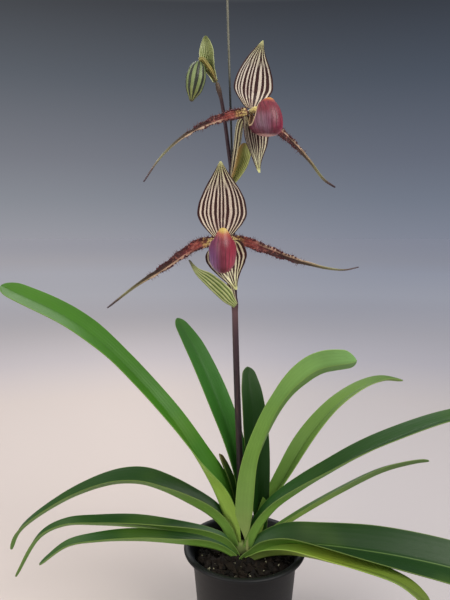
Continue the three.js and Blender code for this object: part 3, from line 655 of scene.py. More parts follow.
# %% Sepal, sheath and stalk finishes
def sepal_finish(name, stripes, near_tip, ground):
    """Stripes across the foot and the fewer ones that they join into near the tip, both odd."""
    def draw(nodes):
        place, across = along_and_across(nodes)
        span = signed(across)
        drift = noise(nodes, 60, 3) - 0.5
        cloud = noise(nodes, 190, 4)
        uneven = (span * 9.5).sin() * 0.14 + (span * 4.3 + 1.2).sin() * 0.1 + drift * 0.3
        bold = (span * 6.1 + 2.0).sin() * 0.2 + (cloud - 0.5) * 0.5 + abs(span) * 0.4 - 0.08

        def lines(count):
            wave = ((across * count + uneven) * (2 * math.pi)).cos()
            return (wave + bold).rise(-0.42, 0.08)

        joined = place.rise(0.6, 0.74)
        dark = lines(stripes) * (1 - joined) + lines(near_tip) * joined
        dark = dark * (place + drift * 0.1).rise(0.985, 0.9)
        cream = ramp(nodes, place, ground)
        cream = nodes.mix(place.rise(0.8, 0.95) * 0.85, cream, "C8C888")
        flush = place.rise(0.55, 0.12) * abs(span).rise(0.8, 0.15) * cloud.rise(0.3, 0.6)
        cream = nodes.mix(flush * 0.55, cream, "8E6A74")
        stain = toned(nodes, cloud * 0.6, "1E080C", "6A2A1E")
        lit = nodes.mix(dark, cream, stain)
        fuzz = noise(nodes, 1400, 2)
        return lit, cloud * 0.16 + 0.45, dark * 0.6 + fuzz * 0.5 + (span * 90).sin() * 0.2, 0.16

    return finish(name, draw, Specular_IOR_Level=0.35, Sheen_Weight=0.1, Sheen_Roughness=0.4)


def sheath_finish(name, ground, vein, tip, blush=None):
    def draw(nodes):
        place, across = along_and_across(nodes)
        span = signed(across)
        cloud = noise(nodes, 90, 4)
        drift = noise(nodes, 40, 2) - 0.5
        line = (span * 30 + drift * 5).sin().rise(0.0, 0.7)
        lit = nodes.mix(cloud.rise(0.35, 0.75), ground[0], ground[1])
        pale = (span * 30 + 2.6 + drift * 5).sin().rise(0.2, 0.9)
        lit = nodes.mix(pale * 0.6 + abs(span).rise(0.9, 1.0) * 0.4, lit, "CCCE9E")
        lit = nodes.mix(line * 0.85 * abs(span).rise(1.0, 0.85), lit, vein)
        lit = nodes.mix(place.rise(0.8, 1.0) * 0.9, lit, tip)
        if blush:
            lit = nodes.mix(span.rise(blush[0], blush[1]) * 0.75, lit, blush[2])
        fuzz = noise(nodes, 1200, 2)
        return lit, cloud * 0.15 + 0.42, line * 0.8 + fuzz * 0.5, 0.2

    return finish(name, draw, Specular_IOR_Level=0.45, Sheen_Weight=0.12, Sheen_Roughness=0.4)


def stalk_finish(name, stops, stripe=None, count=0, depth=0.0, rough=0.5):
    """Colour stops along a stalk, with stripes round its section where asked for."""
    def draw(nodes):
        place, across = along_and_across(nodes)
        cloud = noise(nodes, 160, 4)
        lit = ramp(nodes, place, stops)
        lit = toned(nodes, cloud.rise(0.3, 0.8) * 0.45, lit, "0C0508", 0.6)
        height = noise(nodes, 1500, 3) * 0.8 + cloud * 0.4
        if stripe:
            drift = noise(nodes, 60, 2) - 0.5
            wave = ((across + drift * 0.03) * (2 * math.pi * count)).cos().rise(-0.3, 0.35)
            lit = nodes.mix(wave * depth * place.rise(1.0, 0.93), lit, stripe)
            height = height + wave * 0.6
        return lit, cloud * 0.18 + rough - 0.08, height, 0.2

    return finish(name, draw, Specular_IOR_Level=0.35, Sheen_Weight=0.06, Sheen_Roughness=0.5)

# %% [markdown]
# ### Petals
# A petal changes all the way along: cream with maroon blotches at the foot, dark maroon to the
# middle, olive with brown lines beyond it and brown at the tip, and one of its edges stays pale.

# %% Petal finish
def petal_finish(name):
    def draw(nodes):
        place, across = along_and_across(nodes)
        span = signed(across)
        cloud = noise(nodes, 120, 4)
        drift = noise(nodes, 50, 2) - 0.5
        field = ramp(nodes, place, [
            (0.0, "C8B47A"), (0.08, "B89A60"), (0.13, "8A4036"), (0.25, "6C262A"), (0.36, "5A2E28"),
            (0.5, "5E4432"), (0.64, "888058"), (0.8, "929066"), (0.9, "5E4A42"), (1.0, "3A2A3A"),
        ])
        line = ((span + drift * 0.3) * 10).sin().rise(0.15, 0.9)
        lit = toned(nodes, line * 0.6, field, "260A10", 0.75)
        dark = span.rise(0.35, -0.1) * place.rise(0.18, 0.34) * place.rise(0.85, 0.6)
        lit = nodes.mix(dark * 0.8, lit, "2E1618")
        pale = span.rise(0.25, 0.5) * place.rise(0.75, 0.55) * place.rise(0.16, 0.32)
        lit = nodes.mix(pale * noise(nodes, 220).rise(0.3, 0.45) * 0.75, lit, "C0A48A")
        lit = nodes.mix(abs(span - 0.2).rise(0.14, 0.05) * place.rise(0.3, 0.4) * 0.6, lit, "3A1C1A")
        spots = noise(nodes, 520, 2).rise(0.49, 0.56)
        lit = nodes.mix(place.rise(0.17, 0.09) * spots * 0.9, lit, "54141E")
        blotch = noise(nodes, 420, 2).rise(0.52, 0.6) * place.rise(0.45, 0.3) * place.rise(0.08, 0.16)
        lit = nodes.mix(blotch * 0.5, lit, "A8685A")
        fuzz = noise(nodes, 1500, 2)
        return lit, cloud * 0.15 + 0.45, line * 0.6 + fuzz * 0.5, 0.2

    return finish(name, draw, Specular_IOR_Level=0.35, Sheen_Weight=0.1, Sheen_Roughness=0.4)

# %% [markdown]
# ### The slipper
# The pouch is waxy: crimson purple with darker veins that run down its sides like the ribs of a boat, pinkish
# red on one side and a yellow mouth that turns orange. On the other side, away from the light, a violet sheen
# is painted into its colour, with pale painted highlights low down. The shield in that mouth is a warm yellow
# with a soft down, which a little sheen stands for.

# %% Slipper and shield finishes
def slipper_finish(name, mouth, mouth_depth, shaded_side_sheen, sheen_paint, sole):
    """mouth holds the rim's two colours and sole the edge below; the colour after mouth_depth is a violet
    sheen painted on the side away from the light, and the weight after it paints pale highlights low on that
    side.
    """
    def draw(nodes):
        height = carried(nodes, "height")
        front = carried(nodes, "front")
        side = carried(nodes, "side")
        turn = carried(nodes, "turn")
        cloud = noise(nodes, 110, 4)
        drift = noise(nodes, 90, 3) - 0.5
        # painted sheen: a violet on the side of the pouch away from the light
        body = nodes.mix(side.rise(-0.85, -0.05), shaded_side_sheen, "64102C")
        body = nodes.mix(side.rise(-0.05, 0.6), body, "9E3046")
        body = nodes.mix(height.rise(0.3, 0.75) * 0.6, body, "76202A")
        body = toned(nodes, cloud.rise(0.4, 0.75) * 0.35, body, "B86878")
        branch = (turn * 34 + drift * 5.4).sin().rise(0.3, 0.95) * cloud.rise(0.3, 0.6)
        twig = (turn * 83 + drift * 9.0 + height * 3.0).sin().rise(0.3, 1.0)
        # painted highlights: pale violet patches low on the side of the pouch away from the light
        sheen_patches = noise(nodes, 70, 3, stretch=(1.0, 1.0, 0.35)).rise(0.5, 0.68)
        lit = nodes.mix(sheen_patches * side.rise(0.3, -0.3) * height.rise(0.7, 0.5) * sheen_paint, body, "A892AC")
        lit = nodes.mix(branch * 0.6, lit, "34060F")
        lit = nodes.mix(twig * 0.45, lit, "40081A")
        lift = height + drift * 0.12 - abs(side) * 0.05
        outer = lift.rise(1.0 - mouth_depth * 2.1, 1.0 - mouth_depth * 0.9)
        lit = nodes.mix(outer * 0.7, lit, mouth[1])
        upper = lift.rise(1.0 - mouth_depth * 1.1, 1.0 - mouth_depth * 0.25)
        lit = nodes.mix(upper * 0.95, lit, mouth[0])
        lit = nodes.mix(height.rise(0.09, 0.02) * 0.8, lit, sole)
        edge = carried(nodes, "rim").rise(0.86, 0.95) * front.rise(0.5, 0.1)
        lit = nodes.mix(edge * 0.85, lit, "D0B890")
        lit = nodes.mix(carried(nodes, "within") * 0.85, lit, nodes.mix(cloud, "B0905A", "6E2A2C"))
        lump = noise(nodes, 700, 2)
        return lit, cloud * 0.14 + 0.36, branch * 0.5 + twig * 0.3 + lump * 0.35, 0.16

    return finish(name, draw, Specular_IOR_Level=0.42, Coat_Weight=0.06, Coat_Roughness=0.3)


def shield_finish(name):
    def draw(nodes):
        place, across = along_and_across(nodes)
        cloud = noise(nodes, 300, 4)
        lit = ramp(nodes, place, [(0.0, "8C7A4A"), (0.35, "D8C98E"), (0.75, "E4CE74"), (1.0, "B98A3A")])
        streak = ((across * 40) + cloud * 3).sin().rise(0.5, 1.0)
        lit = nodes.mix(streak * 0.35, lit, "7A3A2A")
        fuzz = noise(nodes, 1800, 2)
        return lit, cloud * 0.15 + 0.42, fuzz, 0.25

    return finish(name, draw, Specular_IOR_Level=0.4, Sheen_Weight=0.25, Sheen_Roughness=0.4)

# %% [markdown]
# ### Pot, bark and stake
# The pot is moulded black plastic, satin and a little dusty. The bark mix is dark and damp with a few
# pale husks, and each chip takes its own tone from a random value that its instance carried.

# %% Pot, bark and stake finishes
def pot_finish(name):
    def draw(nodes):
        cloud = noise(nodes, 22, 4)
        scratch = noise(nodes, 60, 4, stretch=(1.0, 1.0, 14.0))
        dust = noise(nodes, 300, 4).rise(0.55, 0.8) * cloud.rise(0.4, 0.7)
        lit = nodes.mix(cloud * 0.5, "0B0C0E", "131416")
        lit = nodes.mix(dust * 0.2, lit, "4E4B46")
        grain = noise(nodes, 900, 3)
        return lit, scratch * 0.14 + dust * 0.2 + 0.42, grain * 0.5 + scratch * 0.3, 0.1

    return finish(name, draw, Specular_IOR_Level=0.25)


def bark_finish(name, tones, rough=0.75):
    def draw(nodes):
        tone = carried(nodes, "tone")
        cloud = noise(nodes, 240, 5)
        layers = noise(nodes, 500, 4, stretch=(1.0, 0.25, 1.6))
        lit = nodes.mix(tone, tones[0], tones[1])
        lit = nodes.mix(cloud.rise(0.45, 0.75) * 0.6, lit, tones[2])
        lit = nodes.mix(layers.rise(0.35, 0.2) * 0.7, lit, "060403")
        return lit, cloud * 0.25 + rough - 0.05, layers + cloud, 0.7

    return finish(name, draw, Specular_IOR_Level=0.18)


def stake_finish(name):
    def draw(nodes):
        up = height_above_floor(nodes)
        cloud = noise(nodes, 300, 4)
        lit = nodes.mix((up + cloud * 0.02).rise(0.6, 0.625), "0F100E", "605E4E")
        lit = nodes.mix(cloud.rise(0.4, 0.8) * 0.4, lit, "2E2C22")
        return lit, cloud * 0.2 + 0.35, cloud, 0.1

    return finish(name, draw, Specular_IOR_Level=0.5)


def stem_finish(name):
    def draw(nodes):
        up = height_above_floor(nodes)
        cloud = noise(nodes, 150, 4)
        streak = noise(nodes, 300, 4, stretch=(1.0, 1.0, 0.12))
        lit = ramp(nodes, up * 2.0 - 0.2, [
            (0.0, "3C3A1C"), (0.06, "1E1216"), (0.4, "1E1016"), (0.49, "36222A"), (0.54, "543A3E"),
            (0.58, "2A161E"), (0.66, "22101A"), (0.95, "301624"), (1.0, "5A4A34"),
        ])
        lit = toned(nodes, streak.rise(0.5, 0.75) * 0.5, lit, "6A4A3C")
        lit = nodes.mix(cloud.rise(0.5, 0.8) * 0.3, lit, "4A343C")
        fuzz = noise(nodes, 1600, 3)
        return lit, cloud * 0.15 + 0.45, fuzz + streak * 0.5, 0.2

    return finish(name, draw, Specular_IOR_Level=0.35, Sheen_Weight=0.1, Sheen_Roughness=0.45)


print("finishes described")

# %% [markdown]
# ## Pot
# A nursery pot is one moulded wall of even thickness with a deep rolled rim and drain holes in its
# floor. It is turned from one profile, like a potter's template, and the holes are cut by a Boolean.
# The rim gives the size, and the wall below it tapers as it does on such pots.

# %% The pot
POT_PROFILE = [
    (43, 0), (45.3, 0.5), (46.5, 2), (55.9, 111), (56.3, 112.6), (57.6, 114), (60.4, 114.6),
    (63.4, 114.9), (64.6, 115.4), (65, 116.4), (65, 117.4), (64.5, 118.4), (63.4, 118.9), (61.6, 119),
    (59.6, 118.7), (58.2, 117.8), (57.2, 116.2), (55.6, 113.4), (54.2, 110.4), (53.8, 108), (44.4, 4),
    (43.4, 2.8), (42, 2.6),
]
POT_FLOOR = 2.6
POT_SIDES = 144
POT_SHARP_FROM = 40
DRAIN_HOLES = 6
DRAIN_RADIUS = 4
DRAIN_CIRCLE = 31
DRILL_SIDES = 32
DRILL_HEIGHTS = (-4, 8)


def mesh_object(name, corners, faces):
    mesh = bpy.data.meshes.new(name)
    mesh.from_pydata([tuple(c) for c in np.array(corners) * MM], [], faces)
    mesh.validate()
    return new_object(name, mesh)


def circle(radius, height, sides, middle=(0, 0)):
    """The corners of a level ring."""
    turns = [2 * math.pi * k / sides for k in range(sides)]
    return [(middle[0] + radius * math.cos(t), middle[1] + radius * math.sin(t), height) for t in turns]


def closed_rings(name, low, high, rings):
    """A closed body through level rings, with a middle corner at each end of them."""
    sides = len(rings[0])
    last = len(rings) - 1
    corners = [(0, 0, low), (0, 0, high), *(corner for ring in rings for corner in ring)]
    at = lambda i, k: 2 + i * sides + k % sides
    faces = []
    for k in range(sides):
        faces.append((0, at(0, k + 1), at(0, k)))
        faces.append((1, at(last, k), at(last, k + 1)))
        faces.extend((at(i, k), at(i, k + 1), at(i + 1, k + 1), at(i + 1, k)) for i in range(last))
    return mesh_object(name, corners, faces)


def drain_cutter():
    """Upright rods where the drain holes go."""
    corners, faces = [], []
    sides = range(DRILL_SIDES)
    for hole in range(DRAIN_HOLES):
        turn = (hole + 0.5) / DRAIN_HOLES * 2 * math.pi
        low = len(corners)
        high = low + DRILL_SIDES
        for height in DRILL_HEIGHTS:
            middle = (DRAIN_CIRCLE * math.cos(turn), DRAIN_CIRCLE * math.sin(turn))
            corners += circle(DRAIN_RADIUS, height, DRILL_SIDES, middle)
        faces.append(tuple(low + k for k in reversed(sides)))
        faces.append(tuple(high + k for k in sides))
        for k in sides:
            after = (k + 1) % DRILL_SIDES
            faces.append((low + k, low + after, high + after, high + k))
    return mesh_object("drain_cutter", corners, faces)


pot_rings = [circle(radius, height, POT_SIDES) for radius, height in POT_PROFILE]
pot_body = closed_rings("pot_blank", 0, POT_FLOOR, pot_rings)
cutter = drain_cutter()
drill = pot_body.modifiers.new("drill", "BOOLEAN")
drill.object = cutter
drill.operation = "DIFFERENCE"
pot_shell = keep_result("pot_shell", pot_body, pot_finish("black_pot_plastic"))
bpy.data.objects.remove(cutter)
pot_shell.data.shade_smooth()
pot_shell.data.set_sharp_from_angle(angle=math.radians(POT_SHARP_FROM))
hand_over(pot_shell, "pot_plastic", "pot")

# %% [markdown]
# ## Bark mix
# The bark fills the pot to the rim band and rises a little round the plant. Its top is a disc whose
# height follows a few waves, and the chips on it are one small roughened block, scattered by Geometry
# Nodes with a fixed seed. Each chip is turned, stretched and given a tone of its own.

# %% The bark bed
SOIL_LEVEL = 105
SOIL_CROWNED = 3
SOIL_RELIEF = 2.6
SHOULDER_RADIUS = 55.5
SOIL_SIDE = 98
SOIL_WALL = (43.8, 52.3)
SOIL_FOOT = 2.9
SOIL_RINGS = 26
SOIL_SIDES = 96
SOIL_DIP = 4
SOIL_DIP_POWER = 10
BED_TONE = 0.1


def soil_top(x, y):
    reach = math.hypot(x, y) / SHOULDER_RADIUS
    rough = math.sin(x * 0.61 + 1.3) * math.cos(y * 0.55 - 0.7) + 0.8 * math.sin(x * 0.31 - y * 0.42)
    return SOIL_LEVEL + SOIL_CROWNED * (1 - reach**2) + SOIL_RELIEF * 0.5 * rough


def bark_bed():
    """The whole filling of the pot, with a rough top that dips at the wall."""
    rings = [circle(SOIL_WALL[0], SOIL_FOOT, SOIL_SIDES), circle(SOIL_WALL[1], SOIL_SIDE, SOIL_SIDES)]
    for i in range(SOIL_RINGS):
        radius = SOIL_WALL[1] * (1 - i / SOIL_RINGS)
        dip = SOIL_DIP * (radius / SOIL_WALL[1]) ** SOIL_DIP_POWER
        rings.append([(x, y, soil_top(x, y) - dip) for x, y, _ in circle(radius, 0, SOIL_SIDES)])
    return closed_rings("bark_bed", SOIL_FOOT, soil_top(0, 0), rings)


bed = bark_bed()
bed.data.materials.append(bark_finish("dark_bark", ("0E0A07", "1A130E", "080604")))
bed.data.shade_smooth()
carry(bed.data, "tone", np.full(len(bed.data.vertices), BED_TONE))
hand_over(bed, "bark_mix", "soil")

# %% [markdown]
# ### Chips on the bed
# Bark mix is loose bits, far too many to place by hand. A tree strews points on the open top of the
# bed, sets a block on each of them and pushes its corners about with a noise, so no two chips are
# alike. They are made real at the end, so that they leave as one mesh.

# %% The chip tree
CHIP_REACH = 48
CHIPS_ABOVE = 90


def chance(nodes, low, high, seed, kind="FLOAT"):
    """A random value between two, another one for every point."""
    return nodes.value(
        "FunctionNodeRandomValue", {"data_type": kind}, {"Min": low, "Max": high, "Seed": seed}, "Value")


def less(nodes, value, limit):
    return nodes.value("FunctionNodeCompare", {"operation": "LESS_THAN"}, {0: value, 1: limit})


def strewn(nodes, given, *conditions):
    """Points on the faces where both conditions hold."""
    both = nodes.value("FunctionNodeBooleanMath", {"operation": "AND"}, dict(enumerate(conditions)))
    return nodes.node("GeometryNodeDistributePointsOnFaces", {"distribute_method": "RANDOM"}, {
        "Mesh": given["Geometry"], "Selection": both, "Density": given["Density"], "Seed": given["Seed"]})


def chip_tree():
    tree, nodes, given = new_tree("chips_on_bed", {
        "Density": "Float", "Seed": "Int", "Smallest": "Float", "Largest": "Float",
        "Reach": "Float", "Lift": "Float", "Material": "Material",
    })
    place = nodes.value("GeometryNodeInputPosition")
    from_middle = nodes.vector("LENGTH", nodes.vector("MULTIPLY", place, (1.0, 1.0, 0.0)))
    up = nodes.split(place)[2]
    inside = less(nodes, from_middle, given["Reach"])
    scattered = strewn(nodes, given, inside, less(nodes, CHIPS_ABOVE * MM, up))
    block = nodes.value("GeometryNodeMeshCube", {}, {
        "Size": (1.0, 1.0, 1.0), "Vertices X": 3, "Vertices Y": 3, "Vertices Z": 3}, "Mesh")
    seed = given["Seed"]
    size = chance(nodes, given["Smallest"], given["Largest"], seed + 1)
    wide = chance(nodes, (0.7, 0.45, 0.3), (1.35, 1.0, 0.6), seed + 2, "FLOAT_VECTOR")
    turn = chance(nodes, (-0.6, -0.6, 0.0), (0.6, 0.6, 6.283), seed + 3, "FLOAT_VECTOR")
    placed = nodes.value("GeometryNodeInstanceOnPoints", {}, {
        "Points": nodes.out(scattered, "Points"), "Instance": block,
        "Rotation": nodes.value("FunctionNodeEulerToRotation", {}, {0: turn}), "Scale": wide * size,
    })
    placed = store(nodes, placed, "tone", chance(nodes, 0.0, 1.0, seed + 4), "FLOAT", "INSTANCE")
    real = nodes.value("GeometryNodeRealizeInstances", {}, {"Geometry": placed})
    rough = nodes.value("ShaderNodeTexNoise", {}, {"Vector": place, "Scale": 330.0, "Detail": 2.0}, "Color")
    shift = nodes.vector("SUBTRACT", rough, (0.5, 0.5, 0.5))
    real = move(nodes, real, offset=shift * (given["Largest"] * 0.55))
    real = move(nodes, real, offset=nodes.combine(0.0, 0.0, given["Lift"]))
    end_tree(nodes, real, given["Material"])
    return tree


CHIPS = chip_tree()


def scatter(name, density, seed, smallest, largest, lift, material):
    """Loose bits on a copy of the bed, with sizes in millimetres."""
    made = grow(
        name, new_object(name + "_bed", bed.data), CHIPS, Density=density, Seed=seed, Material=material,
        Smallest=smallest * MM, Largest=largest * MM, Reach=CHIP_REACH * MM, Lift=lift * MM)
    made.data.shade_flat()
    return hand_over(made, "bark_mix")


CHIP_SKIN = bark_finish("bark_chip", ("0B0806", "211912", "070504"))
HUSK_SKIN = bark_finish("pale_husk", ("6E6A54", "A8A48C", "4A4636"), 0.8)
scatter("bark_chips", 62000.0, 3, 4.0, 9.0, 0.4, CHIP_SKIN)
scatter("pale_husks", 4200.0, 11, 1.4, 3.2, 2.4, HUSK_SKIN)

# %% [markdown]
# ## Leaves
# Thirteen leaves clasp a short stem one inside the other, tightly folded at the foot and open
# further out. Each is the blade tree on its own line, given as reach and height in the direction
# that it points, so a leaf is a few numbers and the tree does the rest.

# %% The thirteen leaves
LEAF_WIDTH = along([[0, 0.5], [0.12, 0.66], [0.35, 0.88], [0.6, 1], [0.85, 0.82], [0.95, 0.56], [1, 0.34]])
WIDE_FOOT = along([
    [0, 0.3], [0.06, 0.5], [0.1, 0.8], [0.16, 1], [0.23, 1.03], [0.32, 0.88], [0.42, 0.77], [0.52, 0.72],
    [0.63, 0.72], [0.75, 0.86], [0.86, 0.88], [0.95, 0.78], [1, 0.56],
])
BROAD = along([[0, 0.45], [0.12, 0.6], [0.35, 0.84], [0.6, 1], [0.88, 0.98], [0.96, 0.66], [1, 0.4]])
SLIM_FOOT = along([
    [0, 0.2], [0.08, 0.36], [0.2, 0.64], [0.35, 0.88], [0.6, 1], [0.85, 0.82], [0.95, 0.56], [1, 0.34],
])
TAPERED_FOOT = along([
    [0, 0.08], [0.09, 0.12], [0.14, 0.42], [0.18, 0.7], [0.22, 0.94], [0.3, 0.98], [0.42, 0.84],
    [0.55, 0.7], [0.67, 0.66], [0.8, 0.86], [0.9, 0.94], [0.97, 0.78], [1, 0.6],
])
NARROWING = along([
    [0, 0.5], [0.12, 0.66], [0.32, 0.88], [0.46, 1], [0.58, 0.86], [0.7, 0.68], [0.85, 0.5], [1, 0.3],
])
SLENDER = along([
    [0, 0.2], [0.08, 0.36], [0.2, 0.64], [0.35, 0.88], [0.58, 1], [0.7, 0.86], [0.8, 0.68], [0.9, 0.5],
    [1, 0.3],
])
LEAF_FOLD = along([[0, 1], [0.1, 0.93], [0.25, 0.6], [0.5, 0.2], [1, 0]])
LONG_FOLD = along([[0, 1], [0.12, 0.97], [0.22, 0.9], [0.4, 0.45], [0.6, 0.28], [1, 0]])
CLOSED_FOLD = along([[0, 1], [0.12, 0.98], [0.18, 0.86], [0.33, 0.4], [0.6, 0.1], [1, 0]])
CLASP_ANGLE = 70
BURIED = (3, 12)
EDGE_THICKNESS = 0.9
KEEL_THICKNESS = 1.9

FRESH = (
    [(0, "86A848"), (0.12, "4E8228"), (0.3, "3C701A"), (0.7, "40741A"), (1, "467420")],
    [(0, "8EAE4C"), (0.1, "A4C458"), (0.25, "96BC4C"), (1, "7FA240")],
)
MIDDLE = (
    [(0, "7C9C44"), (0.15, "3E7228"), (0.4, "316620"), (0.75, "366C24"), (1, "3A6A28")],
    [(0, "8CAA50"), (0.3, "8FB24A"), (1, "7C9C40")],
)
BRONZED = (
    [(0, "8AAE4C"), (0.3, "5E8034"), (0.7, "62823C"), (1, "567036")],
    [(0, "94B44C"), (0.3, "8FB24A"), (1, "7C9C40")],
)
DEEP = (
    [(0, "547A34"), (0.14, "2C5624"), (0.4, "1F4014"), (0.75, "234618"), (1, "2E5020")],
    [(0, "5C7E3A"), (0.1, "7CA448"), (0.3, "74A040"), (1, "5E863A")],
)
PALE = (
    [(0, "A9B27A"), (0.2, "6E9A48"), (0.6, "5F8A3C"), (0.85, "6E9A4C"), (1, "78A058")],
    [
        (0, "A8A070"), (0.12, "8C9E5A"), (0.25, "749248"), (0.45, "688C3A"), (0.65, "668C40"),
        (0.85, "76A056"), (1, "78A45E"),
    ],
)
OLIVE = (
    [(0, "7C9E44"), (0.2, "52742E"), (0.6, "4C6834"), (1, "4A6434")],
    [(0, "94B44C"), (0.25, "82A242"), (0.6, "668440"), (1, "56703A")],
)
YOUNG = (
    [(0, "4A6E2C"), (0.5, "2C5A20"), (0.85, "34521E"), (1, "5A4428")],
    [(0, "7C9C44"), (0.5, "5C8630"), (0.85, "4E6E28"), (1, "5A4428")],
)
# leaf_10's tones: the lighter middle is painted light over the shadow that leaf_09 casts on it.
LIME = (
    [(0, "5E7A3A"), (0.16, "6E923E"), (0.32, "7A963A"), (0.5, "8C9E38"), (0.75, "6E8430"), (1, "5E6E30")],
    [(0, "5E6E3A"), (0.3, "7E9440"), (0.6, "8A9C40"), (1, "6E7A34")],
)
# The darkest tones: the dark stretch past the foot paints the shadow that falls on leaf_05, and leaf_09
# shares them.
DARKEST = (
    [(0, "4E7430"), (0.12, "26481C"), (0.3, "15310E"), (0.7, "183610"), (1, "223F16")],
    [(0, "5C7E3A"), (0.1, "7CA448"), (0.3, "6A9238"), (1, "567C34")],
)
SHADED = (
    [(0, "547A34"), (0.14, "284E20"), (0.3, "17350E"), (0.55, "1C3C12"), (0.8, "2A4C1E"), (1, "3C5C32")],
    [(0, "5C7E3A"), (0.1, "7CA448"), (0.3, "74A040"), (1, "5E863A")],
)
# Painted light along the middle of the upper face: the dark line is shade in the groove, the light line a
# sheen on the keel of leaf_04 and leaf_09.
GROOVE_SHADE = "1C3A12"
KEEL_SHEEN = "86A456"

LEAVES = {
    "leaf_01": dict(
        root=(-6, 0), bearing=173, width=40, open=14, tones=FRESH, share=WIDE_FOOT, closing=CLOSED_FOLD,
        roll=[[0, 4], [0.18, 2], [0.32, -12], [0.5, -22], [1, -22]],
        line=[
            [0, 112], [9, 156], [20, 183], [40, 214], [67, 253], [100, 292], [140, 332], [180, 361],
            [255, 395],
        ],
    ),
    "leaf_02": dict(
        root=(0, 12), bearing=145, width=30, open=18, tones=MIDDLE,
        roll=[[0, 0], [0.5, -20], [1, -26]],
        line=[[0, 112], [2, 155], [7, 196], [16, 228], [31, 261], [51, 298], [69, 326], [92, 354]],
    ),
    "leaf_03": dict(
        root=(-4, 7), bearing=160, width=15, open=40, tones=YOUNG,
        roll=[[0, 0], [1, -10]],
        line=[[0, 116], [3, 145], [6, 166], [12, 187], [24, 214]],
    ),
    "leaf_04": dict(
        root=(2, -6), bearing=-18, width=38, open=22, tones=PALE, share=TAPERED_FOOT, painted_midline=KEEL_SHEEN,
        roll=[[0, 0], [0.25, -14], [0.4, -24], [0.7, -44], [1, -52]],
        line=[
            [0, 112], [-1, 150], [2, 185], [7, 217], [17, 248], [31, 278], [49, 303], [72, 322], [108, 331],
        ],
    ),
    "leaf_05": dict(
        root=(18, 14), bearing=108, width=32, open=22, tones=DARKEST,
        roll=[[0, 0], [1, 0]],
        line=[[0, 112], [4, 150], [10, 190], [18, 230], [28, 265], [44, 300]],
    ),
    "leaf_06": dict(
        root=(12, 12), bearing=15, width=28, open=22, tones=BRONZED,
        roll=[[0, 0], [0.4, 22], [0.68, 4], [1, -4]],
        line=[
            [0, 112], [11, 150], [34, 190], [54, 222], [76, 248], [98, 267], [126, 282], [151, 287.5],
            [174, 284],
        ],
    ),
    "leaf_07": dict(
        root=(1, -2), bearing=-4, width=36, open=18, tones=DEEP,
        roll=[[0, 0], [1, 2]],
        line=[
            [0, 112], [5, 128], [11, 141], [19, 154], [31, 168], [58, 189], [86, 207.5], [114, 225],
            [147, 242], [206, 266], [260, 277],
        ],
    ),
    "leaf_08": dict(
        root=(14, 8), bearing=16, width=17, open=34, tones=OLIVE,
        roll=[[0, 0], [0.5, -24], [1, -30]],
        line=[[0, 108], [16, 125], [45, 140.5], [98, 163], [152, 181], [196, 185.5], [212, 184.5]],
    ),
    "leaf_09": dict(
        root=(0, -6), bearing=-11, width=56, open=22, tones=DARKEST, painted_midline=KEEL_SHEEN, share=BROAD,
        roll=[[0, 0], [0.35, 6], [0.7, 20], [1, 26]],
        line=[
            [0, 106], [10, 116], [22, 127], [43, 135.5], [80, 136], [121, 134], [160, 130.5], [208, 123.5],
            [245, 115],
        ],
    ),
    "leaf_10": dict(
        root=(-1, -9), bearing=-21, width=34, open=14, tones=LIME, share=SLIM_FOOT,
        roll=[[0, -10], [0.8, -10], [1, 10]],
        line=[
            [0, 105], [12, 113], [26, 121], [50, 128], [75, 129], [94, 128], [122, 126], [154, 121],
            [172, 113], [188, 100],
        ],
    ),
    "leaf_11": dict(
        root=(-9, 0), bearing=176, width=40, open=18, tones=SHADED, share=NARROWING, closing=LONG_FOLD,
        roll=[[0, 0], [1, -2]],
        line=[
            [0, 110], [10, 140], [26, 157], [50, 171], [77, 183], [100, 189.5], [125, 189], [153, 181],
            [193, 161], [239, 125], [249, 103],
        ],
    ),
    "leaf_12": dict(
        root=(-9, -4), bearing=186, width=30, open=18, tones=SHADED, share=NARROWING, closing=LONG_FOLD,
        roll=[[0, 0], [0.3, 6], [1, 6]],
        line=[
            [0, 109], [12, 126], [29, 134.5], [61, 143], [102, 151], [143, 155], [178, 155], [203, 143],
            [229, 100],
        ],
    ),
    "leaf_13": dict(
        root=(-7, -8), bearing=194, width=28, open=20, tones=SHADED, share=SLENDER, closing=LONG_FOLD,
        roll=[[0, 0], [0.3, 6], [1, 6]],
        line=[[0, 106], [16, 121], [37, 131], [70, 139.5], [107, 147], [145, 150], [174, 148], [201, 131]],
    ),
}


def leaf(node, root, bearing, width, open, tones, roll, line, share=LEAF_WIDTH, closing=LEAF_FOLD,
         painted_midline=GROOVE_SHADE):
    turn = math.radians(bearing)
    buried = [line[0][0] - BURIED[0], line[0][1] - BURIED[1]]
    ahead = (math.cos(turn), math.sin(turn))
    points = [[root[0] + out * ahead[0], root[1] + out * ahead[1], up] for out, up in [buried, *line]]
    return blade(
        f"blade_{node[-2:]}", "leaf_blade", node, smooth_line(points, TOWARD_TIP),
        (-ahead[1], ahead[0], 0), leaf_finish(f"green_{node[-2:]}", *tones, painted_midline),
        half=width / 2 * share(TOWARD_TIP) * round_off(TOWARD_TIP, 0, 0.035),
        roll=np.radians(along(roll)(TOWARD_TIP)),
        fold=np.radians(open + (CLASP_ANGLE - open) * closing(TOWARD_TIP)),
        Rows=110, Columns=23, Bow=0.24, Centred=0.5, Edge=EDGE_THICKNESS * MM, Keel=KEEL_THICKNESS * MM,
        Soft_Keel=0.12, Tip_Rows=1.35)


for node, values in LEAVES.items():
    leaf(node, **values)

# %% [markdown]
# ## Stem, stake and crown
# The dark downy stem is swollen where a sheath grows from it. The stake behind it is one straight
# coated wire, and the crown is the flattened foot that all the leaves clasp.

